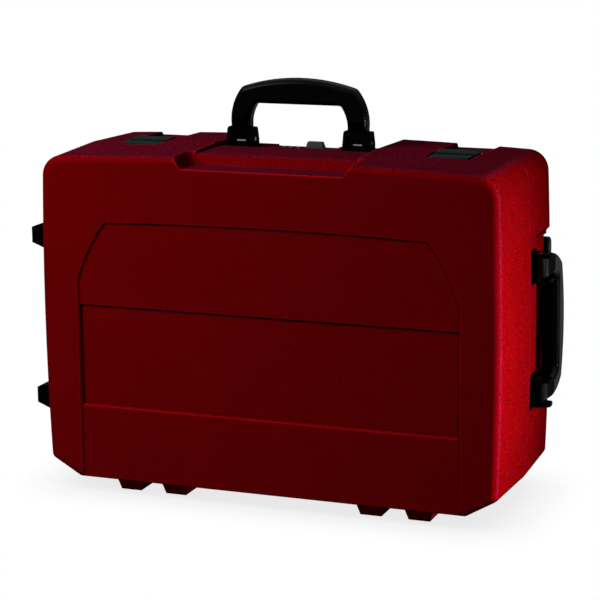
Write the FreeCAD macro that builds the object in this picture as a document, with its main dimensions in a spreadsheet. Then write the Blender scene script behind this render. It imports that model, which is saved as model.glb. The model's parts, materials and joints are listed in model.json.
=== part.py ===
import FreeCAD, Part
import math
import os
import Sketcher
from FreeCAD import Placement, Rotation, Vector

# Driving dimensions in millimetres: name, value, what it measures
SIZES = (
    ("case_width", 575, "shells across their crowned sides"),
    ("case_height", 404, "shells from flat bottom to crown of the top"),
    ("front_depth", 115, "front shell from parting line to face"),
    ("rear_depth", 107, "rear shell from parting line to face"),
    ("foot_height", 13, "floor to shell bottom"),
    ("wall", 4, "moulded wall of both shells"),
    ("rim_gap", 0.6, "visible parting line between the shells"),
    ("draft_inset", 3, "how far each face is drawn in by draft"),
    ("top_crown", 7, "rise of the arched top"),
    ("side_crown", 4, "swell of each arched side"),
    ("corner_radius", 25, "upper corners of the outline"),
    ("edge_radius", 8, "rounding round both faces"),
    ("rim_radius", 1.2, "rounding along the parting line"),
    ("chamfer_across", 40, "lower corner bevel, along the bottom"),
    ("chamfer_up", 23, "lower corner bevel, up the side"),
    ("chamfer_rounding", 8, "rounding of the lower bevel's edges"),
    ("panel_width", 472, "arched front panel"),
    ("panel_shoulder", 246, "height where the panel starts to narrow"),
    ("panel_top_width", 398, "panel at its upper corners"),
    ("panel_top", 317, "height of the panel's upper corners"),
    ("panel_shoulder_radius", 220, "bend of the panel's upper sides"),
    ("panel_crown", 3.5, "rise of the panel's top edge"),
    ("panel_corner_radius", 6, "panel's upper corners"),
    ("panel_sink", 2.4, "panel below the border"),
    ("panel_bevel", 2, "run of the panel's sloped edge"),
    ("band_low", 93.5, "lower edge of the sunk band"),
    ("band_high", 218, "upper edge of the sunk band"),
    ("band_sink", 2.6, "band below the panel"),
    ("band_bevel", 2.4, "run of the band's sloped edges"),
    ("bottom_relief", 3.5, "bottom raised between the corner runners"),
    ("trough_floor_width", 200, "finger trough at its floor"),
    ("trough_floor", 387, "height of the trough floor"),
    ("trough_floor_depth", 38, "trough floor, back from the front face"),
    ("trough_flare", 13, "how far the trough's walls lean out up to the crown"),
    ("trough_corner", 10, "upright corners of the trough"),
    ("trough_hollow", 5, "rounding along the trough's floor"),
    ("shelf_height", 399, "handle shelf of the front shell"),
    ("lip_radius", 12, "rolled edge of the shelf, down into the trough"),
    ("recess_width", 202, "handle recess of both shells"),
    ("recess_floor", 396.5, "floor of the rear handle recess"),
    ("well_back", 46, "deeper well of the recess, behind the parting line"),
    ("well_floor", 378, "floor of the deeper well"),
    ("foot_near", 124, "inner bottom foot, from the middle"),
    ("foot_far", 183, "outer bottom foot, from the middle"),
    ("foot_width", 38, "bottom foot where it leaves the shell"),
    ("foot_sole_width", 26, "bottom foot on the floor"),
    ("foot_length", 40, "bottom foot from front to back"),
    ("foot_sole_length", 34, "sole of the foot from front to back"),
    ("foot_setback", 18, "bottom foot behind the shell's face"),
    ("hinge_spread", 154, "middle of each hinge from the middle of the case"),
    ("hinge_length", 60, "one hinge with its three knuckles"),
    ("hinge_middle", 20, "middle knuckle"),
    ("hinge_height", 6.5, "hinge pin above the floor"),
    ("knuckle_radius", 6, "outside of a knuckle"),
    ("knuckle_gap", 0.5, "side play between knuckles"),
    ("knuckle_web", 9, "web that carries a knuckle"),
    ("hinge_pin_radius", 2.5, "steel hinge pin"),
    ("pin_clearance", 0.05, "running clearance of all pins, per side"),
    ("handle_spread", 148, "carry handle between its bracket middles"),
    ("leg_width", 24, "handle leg between the cheeks"),
    ("leg_straight", 17, "straight stretch of the leg above the pivot"),
    ("leg_slim", 14, "slim stretch of the leg above the pivot"),
    ("leg_full", 26, "height where the leg has its full thickness"),
    ("grip_inner_width", 107, "hand space under the grip"),
    ("grip_outer_width", 142, "grip at its upper corners"),
    ("grip_underside", 44, "grip underside above the pivot"),
    ("grip_shoulder", 64, "upper corners above the pivot"),
    ("grip_crown", 11, "rise of the grip's arched top"),
    ("grip_corner", 10, "upper corners of the grip"),
    ("grip_inner_corner", 4, "corners of the hand space"),
    ("leg_outer_radius", 62, "bend of the legs' outer sides"),
    ("leg_inner_radius", 43, "bend of the legs' inner sides"),
    ("grip_thickness", 22, "grip from front to back"),
    ("grip_rounding", 7, "rounding of the grip's edges"),
    ("eye_radius", 6.5, "leg round the pivot pin"),
    ("pivot_height", 10, "pivot above the bracket's seat"),
    ("handle_pin_radius", 2.5, "steel handle pin"),
    ("window_width", 12.5, "slot that shows the pin"),
    ("window_height", 2.6, "slot that shows the pin"),
    ("bracket_width", 40, "bracket base along the pin"),
    ("bracket_depth", 24, "bracket base across the pin"),
    ("bracket_plate", 3, "bracket base plate"),
    ("bracket_rise", 24.5, "top of the cheeks above the seat"),
    ("bracket_shoulder", 9, "height where the cheeks start to narrow"),
    ("cheek", 4.2, "bracket cheek"),
    ("cheek_top_depth", 15, "cheek at its top, across the pin"),
    ("cheek_clearance", 0.35, "leg to cheek"),
    ("top_pivot_back", 13, "carry handle pivot behind the parting line"),
    ("side_pivot_back", 18, "side handle pivot behind the parting line"),
    ("side_handle_height", 196, "middle of the side handle"),
    ("side_seat_sink", 3, "side bracket seat below the side wall"),
    ("side_pocket_sink", 9.5, "side handle pocket below the side wall"),
    ("side_pocket_height", 203, "floor of the side handle pocket"),
    ("seat_margin", 1, "free edge round a bracket seat"),
    ("latch_spread", 195, "middle of each latch from the middle"),
    ("latch_width", 48, "latch lever"),
    ("latch_reach", 25, "lever nose in front of the parting line"),
    ("latch_pivot_back", 30, "lever pivot behind the parting line"),
    ("latch_tail", 33, "lever tail behind the parting line"),
    ("latch_top", 402, "height of the lever's top"),
    ("latch_plate", 3.4, "lever plate"),
    ("latch_nose", 4, "lever nose from front to back"),
    ("latch_nose_low", 396.6, "height of the nose tip"),
    ("latch_barrel", 3.6, "lever barrel round its pin"),
    ("latch_pivot", 397, "height of the lever pin"),
    ("latch_pin_radius", 1.5, "lever pin"),
    ("latch_pin_anchor", 3, "lever pin held in each notch wall"),
    ("latch_step", 1.6, "front plate of the lever below its rear plate"),
    ("latch_groove", 2.4, "cross groove of the lever"),
    ("latch_groove_sink", 1.2, "cross groove of the lever"),
    ("latch_room", 3, "lever to notch, at each side"),
    ("latch_notch_floor", 392.8, "floor of the rear notch"),
    ("latch_pocket_floor", 391, "floor of the front pocket"),
    ("latch_pocket_room", 2, "nose to the pocket's front wall"),
    ("lock_width", 79, "lock housing"),
    ("lock_depth", 21.4, "lock housing from front to back"),
    ("lock_back", 33, "middle of the lock behind the parting line"),
    ("lock_floor", 385, "floor of the lock's notch"),
    ("lock_top", 395, "top of the lock housing"),
    ("lock_fit", 0.3, "lock housing to notch"),
    ("dial_radius", 5.2, "number dial over its corners"),
    ("dial_width", 5, "number dial"),
    ("dial_height", 391.4, "height of the dial axle"),
    ("dial_first", -28, "first dial from the middle"),
    ("dial_pitch", 9, "dial to dial"),
    ("dial_room", 0.4, "dial to housing"),
    ("dial_axle_radius", 1.2, "dial axle"),
    ("dial_axle_anchor", 4, "axle held beyond the dials"),
    ("slide_left", 1, "left end of the lock slide"),
    ("slide_length", 22, "lock slide"),
    ("slide_depth", 12, "lock slide from front to back"),
    ("slide_top", 403, "height of the slide's top"),
    ("slide_taper", 2, "how far the slide's top is drawn in"),
    ("slide_travel", 8, "lock slide to its stop"),
    ("slide_stem", 8, "stem of the slide, lengthwise"),
    ("slide_stem_depth", 4, "stem of the slide from front to back"),
    ("slide_stem_low", 389, "lower end of the stem"),
    ("tube_back", 106.5, "pull tubes behind the parting line"),
    ("tube_spread", 70, "each pull tube from the middle of the grip"),
    ("outer_tube_radius", 9, "fixed tube"),
    ("outer_tube_wall", 1.2, "fixed tube"),
    ("inner_tube_radius", 7, "sliding tube"),
    ("inner_tube_wall", 1.2, "sliding tube"),
    ("tube_fit", 0.15, "fixed tube to its rail"),
    ("outer_tube_left", -226, "closed end of the fixed tubes"),
    ("inner_tube_left", -196, "free end of the sliding tubes"),
    ("rail_width", 32, "rail round a fixed tube"),
    ("rail_front", 94, "inner face of the rail behind the parting line"),
    ("rail_back", 117, "outer face of the rail behind the parting line"),
    ("rail_bevel", 5, "outer edges of the rail"),
    ("rail_end", 6, "solid end of the rail"),
    ("grip_pocket_floor", 268, "floor of the pull grip's pocket"),
    ("grip_pocket_room", 4, "pull grip to pocket ends"),
    ("finger_room", 18, "finger space behind the pull grip"),
    ("finger_length", 90, "finger space along the pull grip"),
    ("collar_radius", 11.5, "collar round the tube mouth"),
    ("collar_length", 5, "collar at the tube mouth"),
    ("pull_grip_length", 187, "pull grip from end to end"),
    ("pull_grip_depth", 16.5, "pull grip from front to back"),
    ("pull_grip_rise", 14.4, "pull grip along the pull"),
    ("pull_grip_gap", 0.5, "pull grip to its pocket floor"),
    ("pull_grip_end_radius", 8, "rounded ends of the pull grip"),
    ("pull_grip_rounding", 3, "edges of the pull grip"),
    ("tube_seat", 8, "sliding tube inside the grip"),
    ("button_length", 28, "release button along the grip"),
    ("button_depth", 9, "release button from front to back"),
    ("button_rise", 2, "button above the grip"),
    ("button_sunk", 7, "button inside the grip"),
    ("button_travel", 2.5, "release button"),
    ("button_fit", 0.4, "button to its well"),
    ("wheel_radius", 30, "tyre tread"),
    ("wheel_width", 24, "tyre"),
    ("wheel_out", 16, "tread beyond the left side"),
    ("wheel_back", 81, "wheel axle behind the parting line"),
    ("wheel_low", 96, "lower wheel above the shell bottom"),
    ("wheel_high", 296, "upper wheel above the shell bottom"),
    ("wheel_room", 4, "tread to cradle"),
    ("wheel_side_room", 1.5, "tyre to cradle cheeks"),
    ("tyre_depth", 8, "tyre from tread to rim"),
    ("tyre_shoulder", 4, "bevelled tyre shoulder"),
    ("hub_dish", 4, "dished hub face"),
    ("hub_boss_radius", 9, "boss round the axle"),
    ("axle_radius", 4, "wheel axle"),
    ("cradle_wall", 3.5, "wheel cradle"),
    ("end_foot_low", 96, "lower end foot above the shell bottom"),
    ("end_foot_high", 295, "upper end foot above the shell bottom"),
    ("end_foot_height", 41, "end foot at its base"),
    ("end_foot_flat", 19, "end foot at its outer face"),
    ("end_foot_depth", 42, "end foot from front to back"),
    ("end_foot_flat_depth", 26, "outer face from front to back"),
    ("end_foot_out", 19, "end foot beyond the left side"),
    ("end_foot_setback", 12, "end foot behind the front face"),
    ("end_screw_head", 4, "radius of the end foot screw heads"),
    ("end_screw_sink", 3, "counterbore of the end foot screws"),
    ("end_screw_head_height", 2, "end foot screw head"),
    ("end_screw_shank", 2, "radius of the end foot screws"),
    ("board_width", 524, "tray board"),
    ("board_height", 346, "tray board"),
    ("board_low", 25, "lower edge of the boards above the shell bottom"),
    ("board", 4, "tray board"),
    ("foam", 30, "tray foam"),
    ("foam_face", 6, "tray foam's face behind the parting line"),
    ("lid_foam", 10, "lid foam"),
    ("lid_foam_face", 26, "lid foam's face in front of the parting line"),
    ("pillar_radius", 9, "pillars under the boards"),
    ("pillar_across", 215, "outer pillars from the middle"),
    ("pillar_low", 55, "lower pillars above the shell bottom"),
    ("pillar_high", 345, "upper pillars above the shell bottom"),
    ("screw_head", 4, "radius of a board screw's head"),
    ("screw_head_height", 2.2, "board screw head"),
    ("screw_shank", 1.8, "radius of a board screw"),
    ("screw_length", 18, "board screw below its head"),
    ("tool_fit", 0.6, "foam pocket to tool"),
    ("drive_large", 12.7, "larger drive square"),
    ("drive_small", 6.35, "smaller drive square"),
    ("drive_length", 15, "larger drive square"),
    ("drive_fit", 0.2, "drive square to its hole"),
    ("socket_wall", 0.125, "socket wall as a share of its size, per side"),
    ("socket_collar_large", 22, "least outside diameter, larger drive"),
    ("socket_collar_small", 12, "least outside diameter, smaller drive"),
    ("socket_margin_large", 4.5, "extra outside diameter, larger drive"),
    ("socket_margin_small", 2, "extra outside diameter, smaller drive"),
    ("socket_tall", 43, "sockets of the top row"),
    ("socket_mid", 38, "sockets of the second row"),
    ("socket_short", 25, "sockets of the bottom row"),
    ("socket_sink", 21, "larger sockets in the foam"),
    ("socket_sink_small", 14, "smaller sockets in the foam"),
    ("row_large", 325, "top row above the shell bottom"),
    ("row_mid", 268, "second row above the shell bottom"),
    ("row_ratchet", 212, "ratchet above the shell bottom"),
    ("row_bars", 160, "extension bars above the shell bottom"),
    ("row_sliding", 108, "sliding bar above the shell bottom"),
    ("row_small", 55, "bottom row above the shell bottom"),
    ("pitch_large", 70, "top row"),
    ("pitch_mid", 52, "second row"),
    ("pitch_small", 42, "bottom row"),
    ("ratchet_head_across", -215, "ratchet head from the middle"),
    ("ratchet_head_radius", 20, "ratchet head"),
    ("ratchet_head_height", 24, "ratchet head"),
    ("ratchet_proud", 12, "ratchet head above the foam"),
    ("ratchet_length", 265, "ratchet from head middle to grip end"),
    ("ratchet_shank_radius", 7, "ratchet shank"),
    ("ratchet_grip_length", 130, "grip sleeve"),
    ("ratchet_grip_radius", 13.5, "grip sleeve"),
    ("ratchet_gear_radius", 14.5, "drive gear in the head"),
    ("ratchet_gear_height", 15, "drive gear in the head"),
    ("ratchet_neck_radius", 11, "drive neck in the head's floor"),
    ("ratchet_floor", 4, "floor of the head round the neck"),
    ("ratchet_teeth", 24, "teeth of the drive gear"),
    ("ratchet_cover_radius", 17, "cover plate"),
    ("ratchet_cover_height", 3, "cover plate"),
    ("ratchet_play", 0.3, "axial play of the drive"),
    ("reverse_offset", 10.5, "reversing lever pivot from the head's middle"),
    ("reverse_radius", 5, "reversing lever round its pivot"),
    ("reverse_arm", 17, "reversing lever arm"),
    ("reverse_arm_width", 5, "reversing lever arm"),
    ("reverse_height", 4, "reversing lever above the cover"),
    ("reverse_gap", 0.3, "reversing lever to cover"),
    ("reverse_stem_radius", 2, "stem of the reversing lever"),
    ("reverse_stem", 2.4, "stem of the reversing lever in the cover"),
    ("release_radius", 3.6, "quick release button"),
    ("release_rise", 2.5, "quick release button above the cover"),
    ("release_sunk", 1.6, "quick release button in the cover"),
    ("bar_left", -240, "left end of the long bars"),
    ("bar_long", 250, "longer extension bar without its square"),
    ("bar_short", 110, "shorter extension bar without its square"),
    ("bar_short_left", 65, "left end of the shorter bar"),
    ("bar_radius", 6.5, "extension bar"),
    ("bar_end_radius", 11, "socket end of an extension bar"),
    ("bar_end_length", 30, "socket end of an extension bar"),
    ("sliding_length", 260, "sliding T bar"),
    ("sliding_radius", 6.5, "sliding T bar"),
    ("sliding_head_size", 25, "block on the T bar"),
    ("sliding_head_height", 27, "block on the T bar"),
    ("sliding_travel", 85, "block to each side"),
    ("sliding_stop_length", 6, "end stops of the T bar"),
    ("sliding_stop_radius", 8, "end stops of the T bar"),
    ("plug_socket_left", 75, "first spark plug socket"),
    ("plug_socket_step", 85, "spark plug socket to the next"),
    ("plug_socket_length", 65, "spark plug sockets"),
    ("plug_socket_radius", 13, "spark plug sockets"),
    ("spinner_left", 60, "spinner handle's grip end"),
    ("spinner_grip_length", 95, "spinner handle's grip"),
    ("spinner_grip_radius", 14, "spinner handle's grip"),
    ("spinner_shaft_length", 80, "spinner handle's shaft"),
    ("spinner_shaft_radius", 4, "spinner handle's shaft"),
    ("cut_over", 12, "how far cutters run past a surface"),
    ("overlap", 1, "how far joined solids run into each other"),
)

LARGE_SOCKETS = (32, 30, 27, 24, 22, 21, 19)
MID_SOCKETS = (18, 17, 16, 15, 14, 13, 12, 11, 10)
SMALL_SOCKETS = (13, 12, 11, 10, 9, 8, 7, 6, 5.5, 5, 4)
PLUG_SOCKETS = (21, 16)
HEXAGON = 6
NEAR = 0.01
DIGITS = 10
DIALS = 3
SIDES = {"left": -1, "right": 1}
TURNS = {
    "X": Rotation(Vector(0, 1, 0), 90),
    "Y": Rotation(Vector(1, 0, 0), -90),
    "Z": Rotation(),
}
UPRIGHT = Rotation()
FOLDED_BACK = Rotation(Vector(0, 0, 1), Vector(1, 0, 0), Vector(0, 1, 0), "XYZ")
FACING_LEFT = Rotation(Vector(0, 0, 1), Vector(-1, 0, 0), Vector(0, -1, 0), "XYZ")
FACING_RIGHT = Rotation(Vector(0, 0, 1), Vector(0, -1, 0), Vector(1, 0, 0), "XYZ")

doc = FreeCAD.newDocument("tool_case")
sheet = doc.addObject("Spreadsheet::Sheet", "Sizes")
for row, (alias, number, note) in enumerate(SIZES, 1):
    sheet.set(f"A{row}", alias)
    sheet.set(f"B{row}", str(number))
    sheet.set(f"C{row}", note)
    sheet.setAlias(f"B{row}", alias)
doc.recompute()
nodes = []


class Size:
    """A length that carries its number now and its formula on the sheet."""

    def __init__(self, value, text):
        self.value = value
        self.text = text

    def join(self, sign, other, value):
        return Size(value, f"({self.text} {sign} {other.text})")

    def __add__(self, other):
        other = as_size(other)
        return self.join("+", other, self.value + other.value)

    def __sub__(self, other):
        other = as_size(other)
        return self.join("-", other, self.value - other.value)

    def __mul__(self, other):
        other = as_size(other)
        return self.join("*", other, self.value * other.value)

    def __truediv__(self, other):
        other = as_size(other)
        return self.join("/", other, self.value / other.value)

    def __rsub__(self, other):
        return as_size(other) - self

    def __neg__(self):
        return as_size(0) - self

    __radd__ = __add__
    __rmul__ = __mul__


class Sheet:
    """Reads a driving dimension by its alias."""

    def __getattr__(self, alias):
        return Size(float(sheet.get(alias)), f"Sizes.{alias}")


def as_size(number):
    return number if isinstance(number, Size) else Size(float(number), f"({number})")


def larger(first, second):
    return Size(max(first.value, second.value), f"max({first.text}; {second.text})")


def root(size):
    return Size(math.sqrt(size.value), f"sqrt({size.text})")


def bow_radius(chord, rise):
    """Radius of an arc from its chord and its rise."""
    return chord * chord / (rise * 8) + rise / 2


def around(middle, width):
    return (middle - width / 2, middle + width / 2)


S = Sheet()
BASE = S.foot_height
HALF = S.case_width / 2
OVER = S.cut_over
LAP = S.overlap
TOP = BASE + S.case_height
FRONT = -S.front_depth
SIDE_MIDDLE = BASE + S.side_handle_height
TOP_PIVOT = BASE + S.recess_floor + S.pivot_height
SIDE_SEAT = HALF - S.side_seat_sink
SIDE_PIVOT = SIDE_SEAT + S.pivot_height
FRONT_WALL = S.wall + S.panel_sink + S.band_sink
BOARD_MIDDLE = BASE + S.board_low + S.board_height / 2


def bind(thing, **sizes):
    """Ties properties of an object to formulas on the sheet."""
    for name, size in sizes.items():
        thing.setExpression(name, as_size(size).text)


def place(thing, x=0, y=0, z=0, turn=UPRIGHT):
    thing.Placement = Placement(Vector(), turn)
    for letter, size in zip("xyz", (x, y, z)):
        thing.setExpression(f"Placement.Base.{letter}", as_size(size).text)
    return thing


def box(name, x, y, z):
    """A block between two values along each axis."""
    solid = doc.addObject("Part::Box", name)
    bind(solid, Length=x[1] - x[0], Width=y[1] - y[0], Height=z[1] - z[0])
    return place(solid, x[0], y[0], z[0])


def along(solid, axis, start, centre):
    """Turns an upright solid onto an axis; centre holds the other two coordinates in order."""
    spots = {"X": (start, *centre), "Y": (centre[0], start, centre[1]), "Z": (*centre, start)}
    return place(solid, *spots[axis], TURNS[axis])


def rod(name, axis, reach, centre, radius):
    solid = doc.addObject("Part::Cylinder", name)
    bind(solid, Radius=radius, Height=reach[1] - reach[0])
    return along(solid, axis, reach[0], centre)


def prism(name, axis, reach, centre, radius, sides):
    solid = doc.addObject("Part::Prism", name)
    solid.Polygon = sides
    bind(solid, Circumradius=radius, Height=reach[1] - reach[0])
    return along(solid, axis, reach[0], centre)


def wedge(name, z, low, high):
    """A block that tapers upwards: low and high are its x and y spans at both heights."""
    solid = doc.addObject("Part::Wedge", name)
    bind(solid, Ymin=z[0], Ymax=z[1])
    bind(solid, Xmin=low[0][0], Xmax=low[0][1], Zmin=-low[1][1], Zmax=-low[1][0])
    bind(solid, X2min=high[0][0], X2max=high[0][1], Z2min=-high[1][1], Z2max=-high[1][0])
    return place(solid, turn=Rotation(Vector(1, 0, 0), 90))


def fuse(name, *solids):
    joined = doc.addObject("Part::MultiFuse", name)
    joined.Shapes = solids
    joined.Refine = True
    return joined


def cut(name, base, *tools):
    rest = doc.addObject("Part::Cut", name)
    rest.Base = base
    rest.Tool = tools[0] if len(tools) == 1 else fuse(f"{name}_cutters", *tools)
    return rest


def common(name, first, second):
    shared = doc.addObject("Part::Common", name)
    shared.Base = first
    shared.Tool = second
    return shared


def group(name, solids):
    """Several separate solids in one node."""
    pack = doc.addObject("Part::Compound", name)
    pack.Links = solids
    return pack


def node(thing, label):
    thing.Label = label
    nodes.append(thing)
    return thing


def arc_edge(start, end, radius):
    """An arc from start to end that bulges away from the outline's inside."""
    chord = end - start
    rise = math.sqrt(radius * radius - chord.Length * chord.Length / 4)
    centre = (start + end) / 2 + Vector(-chord.y, chord.x, 0).normalize() * rise
    first = math.atan2(start.y - centre.y, start.x - centre.x)
    last = math.atan2(end.y - centre.y, end.x - centre.x)
    if last < first:
        last += 2 * math.pi
    return Part.ArcOfCircle(Part.Circle(centre, Vector(0, 0, 1), radius), first, last)


def hold(sketch, constraint, size):
    """Adds a constraint whose value comes from the sheet."""
    number = sketch.addConstraint(constraint)
    sketch.renameConstraint(number, f"size{number}")
    sketch.setExpression(f"Constraints.size{number}", size.text)


def outline(body, role, points, arcs=None):
    """A closed outline in one of the body's planes; arcs holds edge radii, hollow if drawn clockwise."""
    arcs = arcs or {}
    sketch = body.newObject("Sketcher::SketchObject", f"{body.Name}_outline")
    plane = [thing for thing in body.Origin.OriginFeatures if thing.Role == role]
    sketch.AttachmentSupport = [(plane[0], "")]
    sketch.MapMode = "FlatFace"
    points = [(as_size(across), as_size(up)) for across, up in points]
    corners = [Vector(across.value, up.value, 0) for across, up in points]
    count = len(corners)
    for edge, start in enumerate(corners):
        end = corners[(edge + 1) % count]
        curve = arc_edge(start, end, arcs[edge].value) if edge in arcs else Part.LineSegment(start, end)
        sketch.addGeometry(curve, False)
    for edge in range(count):
        sketch.addConstraint(Sketcher.Constraint("Coincident", edge, 2, (edge + 1) % count, 1))
    for edge, (across, up) in enumerate(points):
        hold(sketch, Sketcher.Constraint("DistanceX", -1, 1, edge, 1, across.value), across)
        hold(sketch, Sketcher.Constraint("DistanceY", -1, 1, edge, 1, up.value), up)
    for edge, radius in arcs.items():
        hold(sketch, Sketcher.Constraint("Radius", edge, radius.value), radius)
    return sketch


def padded(name, role, points, length, arcs=None, middle=False, reverse=False, taper=None):
    """A body made by drawing an outline out along its plane's normal."""
    body = doc.addObject("PartDesign::Body", name)
    sketch = outline(body, role, points, arcs)
    pad = body.newObject("PartDesign::Pad", f"{name}_pad")
    pad.Profile = sketch
    pad.SideType = "Symmetric" if middle else "One side"
    pad.Reversed = reverse
    bind(pad, Length=length)
    if taper:
        pad.setExpression("TaperAngle", f"-atan({taper.text} / {length.text})")
    return body


def pocketed(body, role, points, length, arcs):
    """Cuts an outline out of a body, the same length to both sides of its plane."""
    sketch = outline(body, role, points, arcs)
    pocket = body.newObject("PartDesign::Pocket", f"{body.Name}_pocket")
    pocket.Profile = sketch
    pocket.SideType = "Symmetric"
    bind(pocket, Length=length)
    return body


def turned(name, profile):
    """A body made by turning an outline of radius and height about the upright axis."""
    body = doc.addObject("PartDesign::Body", name)
    sketch = outline(body, "XZ_Plane", profile)
    spin = body.newObject("PartDesign::Revolution", f"{name}_turn")
    spin.Profile = sketch
    spin.ReferenceAxis = (sketch, ["V_Axis"])
    spin.Angle = 360
    return body


def rounded(body, radius, chosen):
    """Rounds the edges of a body that the test picks."""
    doc.recompute()
    last = body.Tip
    names = [f"Edge{number}" for number, edge in enumerate(last.Shape.Edges, 1) if chosen(edge)]
    fillet = body.newObject("PartDesign::Fillet", f"{body.Name}_round")
    fillet.Base = (last, names)
    bind(fillet, Radius=radius)
    return body


def ends(edge):
    return [vertex.Point for vertex in edge.Vertexes]


def runs_deep(edge):
    """True where an edge runs from front to back."""
    spots = ends(edge)
    step = spots[-1] - spots[0]
    return abs(step.y) > abs(step.x) + abs(step.z)


def runs_across(edge):
    """True where an edge runs from left to right."""
    spots = ends(edge)
    return abs(spots[-1].x - spots[0].x) > NEAR


def rises(edge):
    """True where an edge runs upwards."""
    spots = ends(edge)
    return abs(spots[-1].z - spots[0].z) > NEAR


def at_depth(depth):
    return lambda edge: all(abs(abs(spot.y) - depth.value) < NEAR for spot in ends(edge))


def in_plane(edge):
    """True where an edge lies square to the front to back direction."""
    spots = ends(edge)
    return all(abs(spot.y - spots[0].y) < NEAR for spot in spots)


def block(name, inset, floor, depth, rear):
    """The drafted, crowned block of one shell, drawn in by an inset all round."""
    half = HALF - inset
    low = BASE + floor
    high = TOP - inset
    side = half - S.side_crown
    bevel_top = low + S.chamfer_up
    shoulder = high - S.top_crown
    points = (
        (-(side - S.chamfer_across), low),
        (side - S.chamfer_across, low),
        (side, bevel_top),
        (side, shoulder),
        (-side, shoulder),
        (-side, bevel_top),
    )
    side_bow = bow_radius(shoulder - bevel_top, S.side_crown)
    arcs = {2: side_bow, 3: bow_radius(side * 2, S.top_crown), 4: side_bow}
    body = padded(name, "XZ_Plane", points, depth, arcs, reverse=rear, taper=S.draft_inset)
    middle = (BASE + S.case_height / 2).value
    rounded(body, S.corner_radius - inset, lambda edge: runs_deep(edge) and ends(edge)[0].z > middle)
    rounded(body, S.chamfer_rounding, lambda edge: runs_deep(edge) and ends(edge)[0].z < middle)
    return body


def pit(name, x, y, z):
    """A recess and the thicker block that keeps a wall round it."""
    hollow = box(name, x, y, z)
    backing = box(
        f"{name}_backing",
        (x[0] - S.wall, x[1] + S.wall),
        (y[0] - S.wall, y[1] + S.wall),
        (z[0] - S.wall, z[1] + S.wall),
    )
    return hollow, backing


def bottom_feet(name, back_to_front):
    """Four tapered feet under one shell; the sign says which way its face lies."""
    feet = []
    face = S.rear_depth if back_to_front > 0 else S.front_depth
    middle = (face - S.foot_setback - S.foot_length / 2) * back_to_front
    for across in (S.foot_near, S.foot_far):
        for side, sign in SIDES.items():
            feet.append(wedge(
                f"{name}_{len(feet)}",
                (as_size(0), BASE + S.bottom_relief + LAP),
                (around(across * sign, S.foot_sole_width), around(middle, S.foot_sole_length)),
                (around(across * sign, S.foot_width), around(middle, S.foot_length)),
            ))
    return feet


def knuckles(name, spans, back_to_front):
    """Hinge knuckles with the webs that carry them on one shell."""
    parts = []
    web = (S.rim_gap, S.knuckle_web) if back_to_front > 0 else (-S.knuckle_web, -S.rim_gap)
    rise = (S.hinge_height, BASE + S.bottom_relief + LAP)
    for i, reach in enumerate(spans):
        parts.append(rod(f"{name}_barrel_{i}", "X", reach, (as_size(0), S.hinge_height), S.knuckle_radius))
        parts.append(box(f"{name}_web_{i}", reach, web, rise))
    return parts


def hinge_spans(outer):
    """Where the knuckles lie along each hinge: two outer ones, or the middle one."""
    spans = []
    for sign in SIDES.values():
        middle = S.hinge_spread * sign
        inner = around(middle, S.hinge_middle)
        whole = around(middle, S.hinge_length)
        if outer:
            spans.append((whole[0], inner[0] - S.knuckle_gap))
            spans.append((inner[1] + S.knuckle_gap, whole[1]))
        else:
            spans.append(inner)
    return spans


def pillar_spots(level):
    return [(across, BASE + level) for across in (-S.pillar_across, as_size(0), S.pillar_across)]


def board_spots():
    return pillar_spots(S.pillar_low) + pillar_spots(S.pillar_high)


def pillars(name, level, reach):
    """A row of three posts that carry a board."""
    spots = pillar_spots(level)
    return [rod(f"{name}_{i}", "Y", reach, spot, S.pillar_radius) for i, spot in enumerate(spots)]


def front_panel():
    """Arched panel and the sunk band across it, as cutters."""
    half = S.panel_width / 2
    top_half = S.panel_top_width / 2
    low = BASE - OVER
    points = (
        (-half, low),
        (half, low),
        (half, BASE + S.panel_shoulder),
        (top_half, BASE + S.panel_top),
        (-top_half, BASE + S.panel_top),
        (-half, BASE + S.panel_shoulder),
    )
    bow = bow_radius(S.panel_top_width, S.panel_crown)
    arcs = {2: S.panel_shoulder_radius, 3: bow, 4: S.panel_shoulder_radius}
    length = S.panel_sink + OVER
    flare = S.panel_bevel * length / S.panel_sink
    panel = padded("panel_cutter", "XZ_Plane", points, length, arcs, taper=-flare)
    middle = (BASE + (S.panel_shoulder + S.panel_top) / 2).value
    rounded(panel, S.panel_corner_radius, lambda edge: not in_plane(edge) and ends(edge)[0].z > middle)
    level = FRONT + S.panel_sink
    place(panel, y=level)
    low = BASE + S.band_low
    high = BASE + S.band_high
    floor = level + S.band_sink
    profile = (
        (FRONT, low),
        (level, low),
        (floor, low + S.band_bevel),
        (floor, high - S.band_bevel),
        (level, high),
        (FRONT, high),
    )
    band = padded("band_cutter", "YZ_Plane", profile, S.panel_width, middle=True)
    return panel, band


def bottom_cutter(name, y):
    half = S.panel_width / 2
    return box(name, (-half, half), y, (BASE - OVER, BASE + S.bottom_relief))


def finger_trough():
    """Flared trough behind the upper front edge, as a cutter with rounded corners."""
    half = S.trough_floor_width / 2
    back = FRONT + S.trough_floor_depth
    points = ((-half, FRONT - OVER), (half, FRONT - OVER), (half, back), (-half, back))
    rise = S.case_height - S.trough_floor
    length = rise + OVER
    trough = padded("trough", "XY_Plane", points, length, taper=-(S.trough_flare * length / rise))
    face = FRONT.value
    rounded(trough, S.trough_corner, lambda edge: rises(edge) and ends(edge)[0].y > face)
    rounded(trough, S.trough_hollow, lambda edge: max(spot.z for spot in ends(edge)) < NEAR
            and max(spot.y for spot in ends(edge)) > face)
    return place(trough, z=BASE + S.trough_floor)


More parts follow.
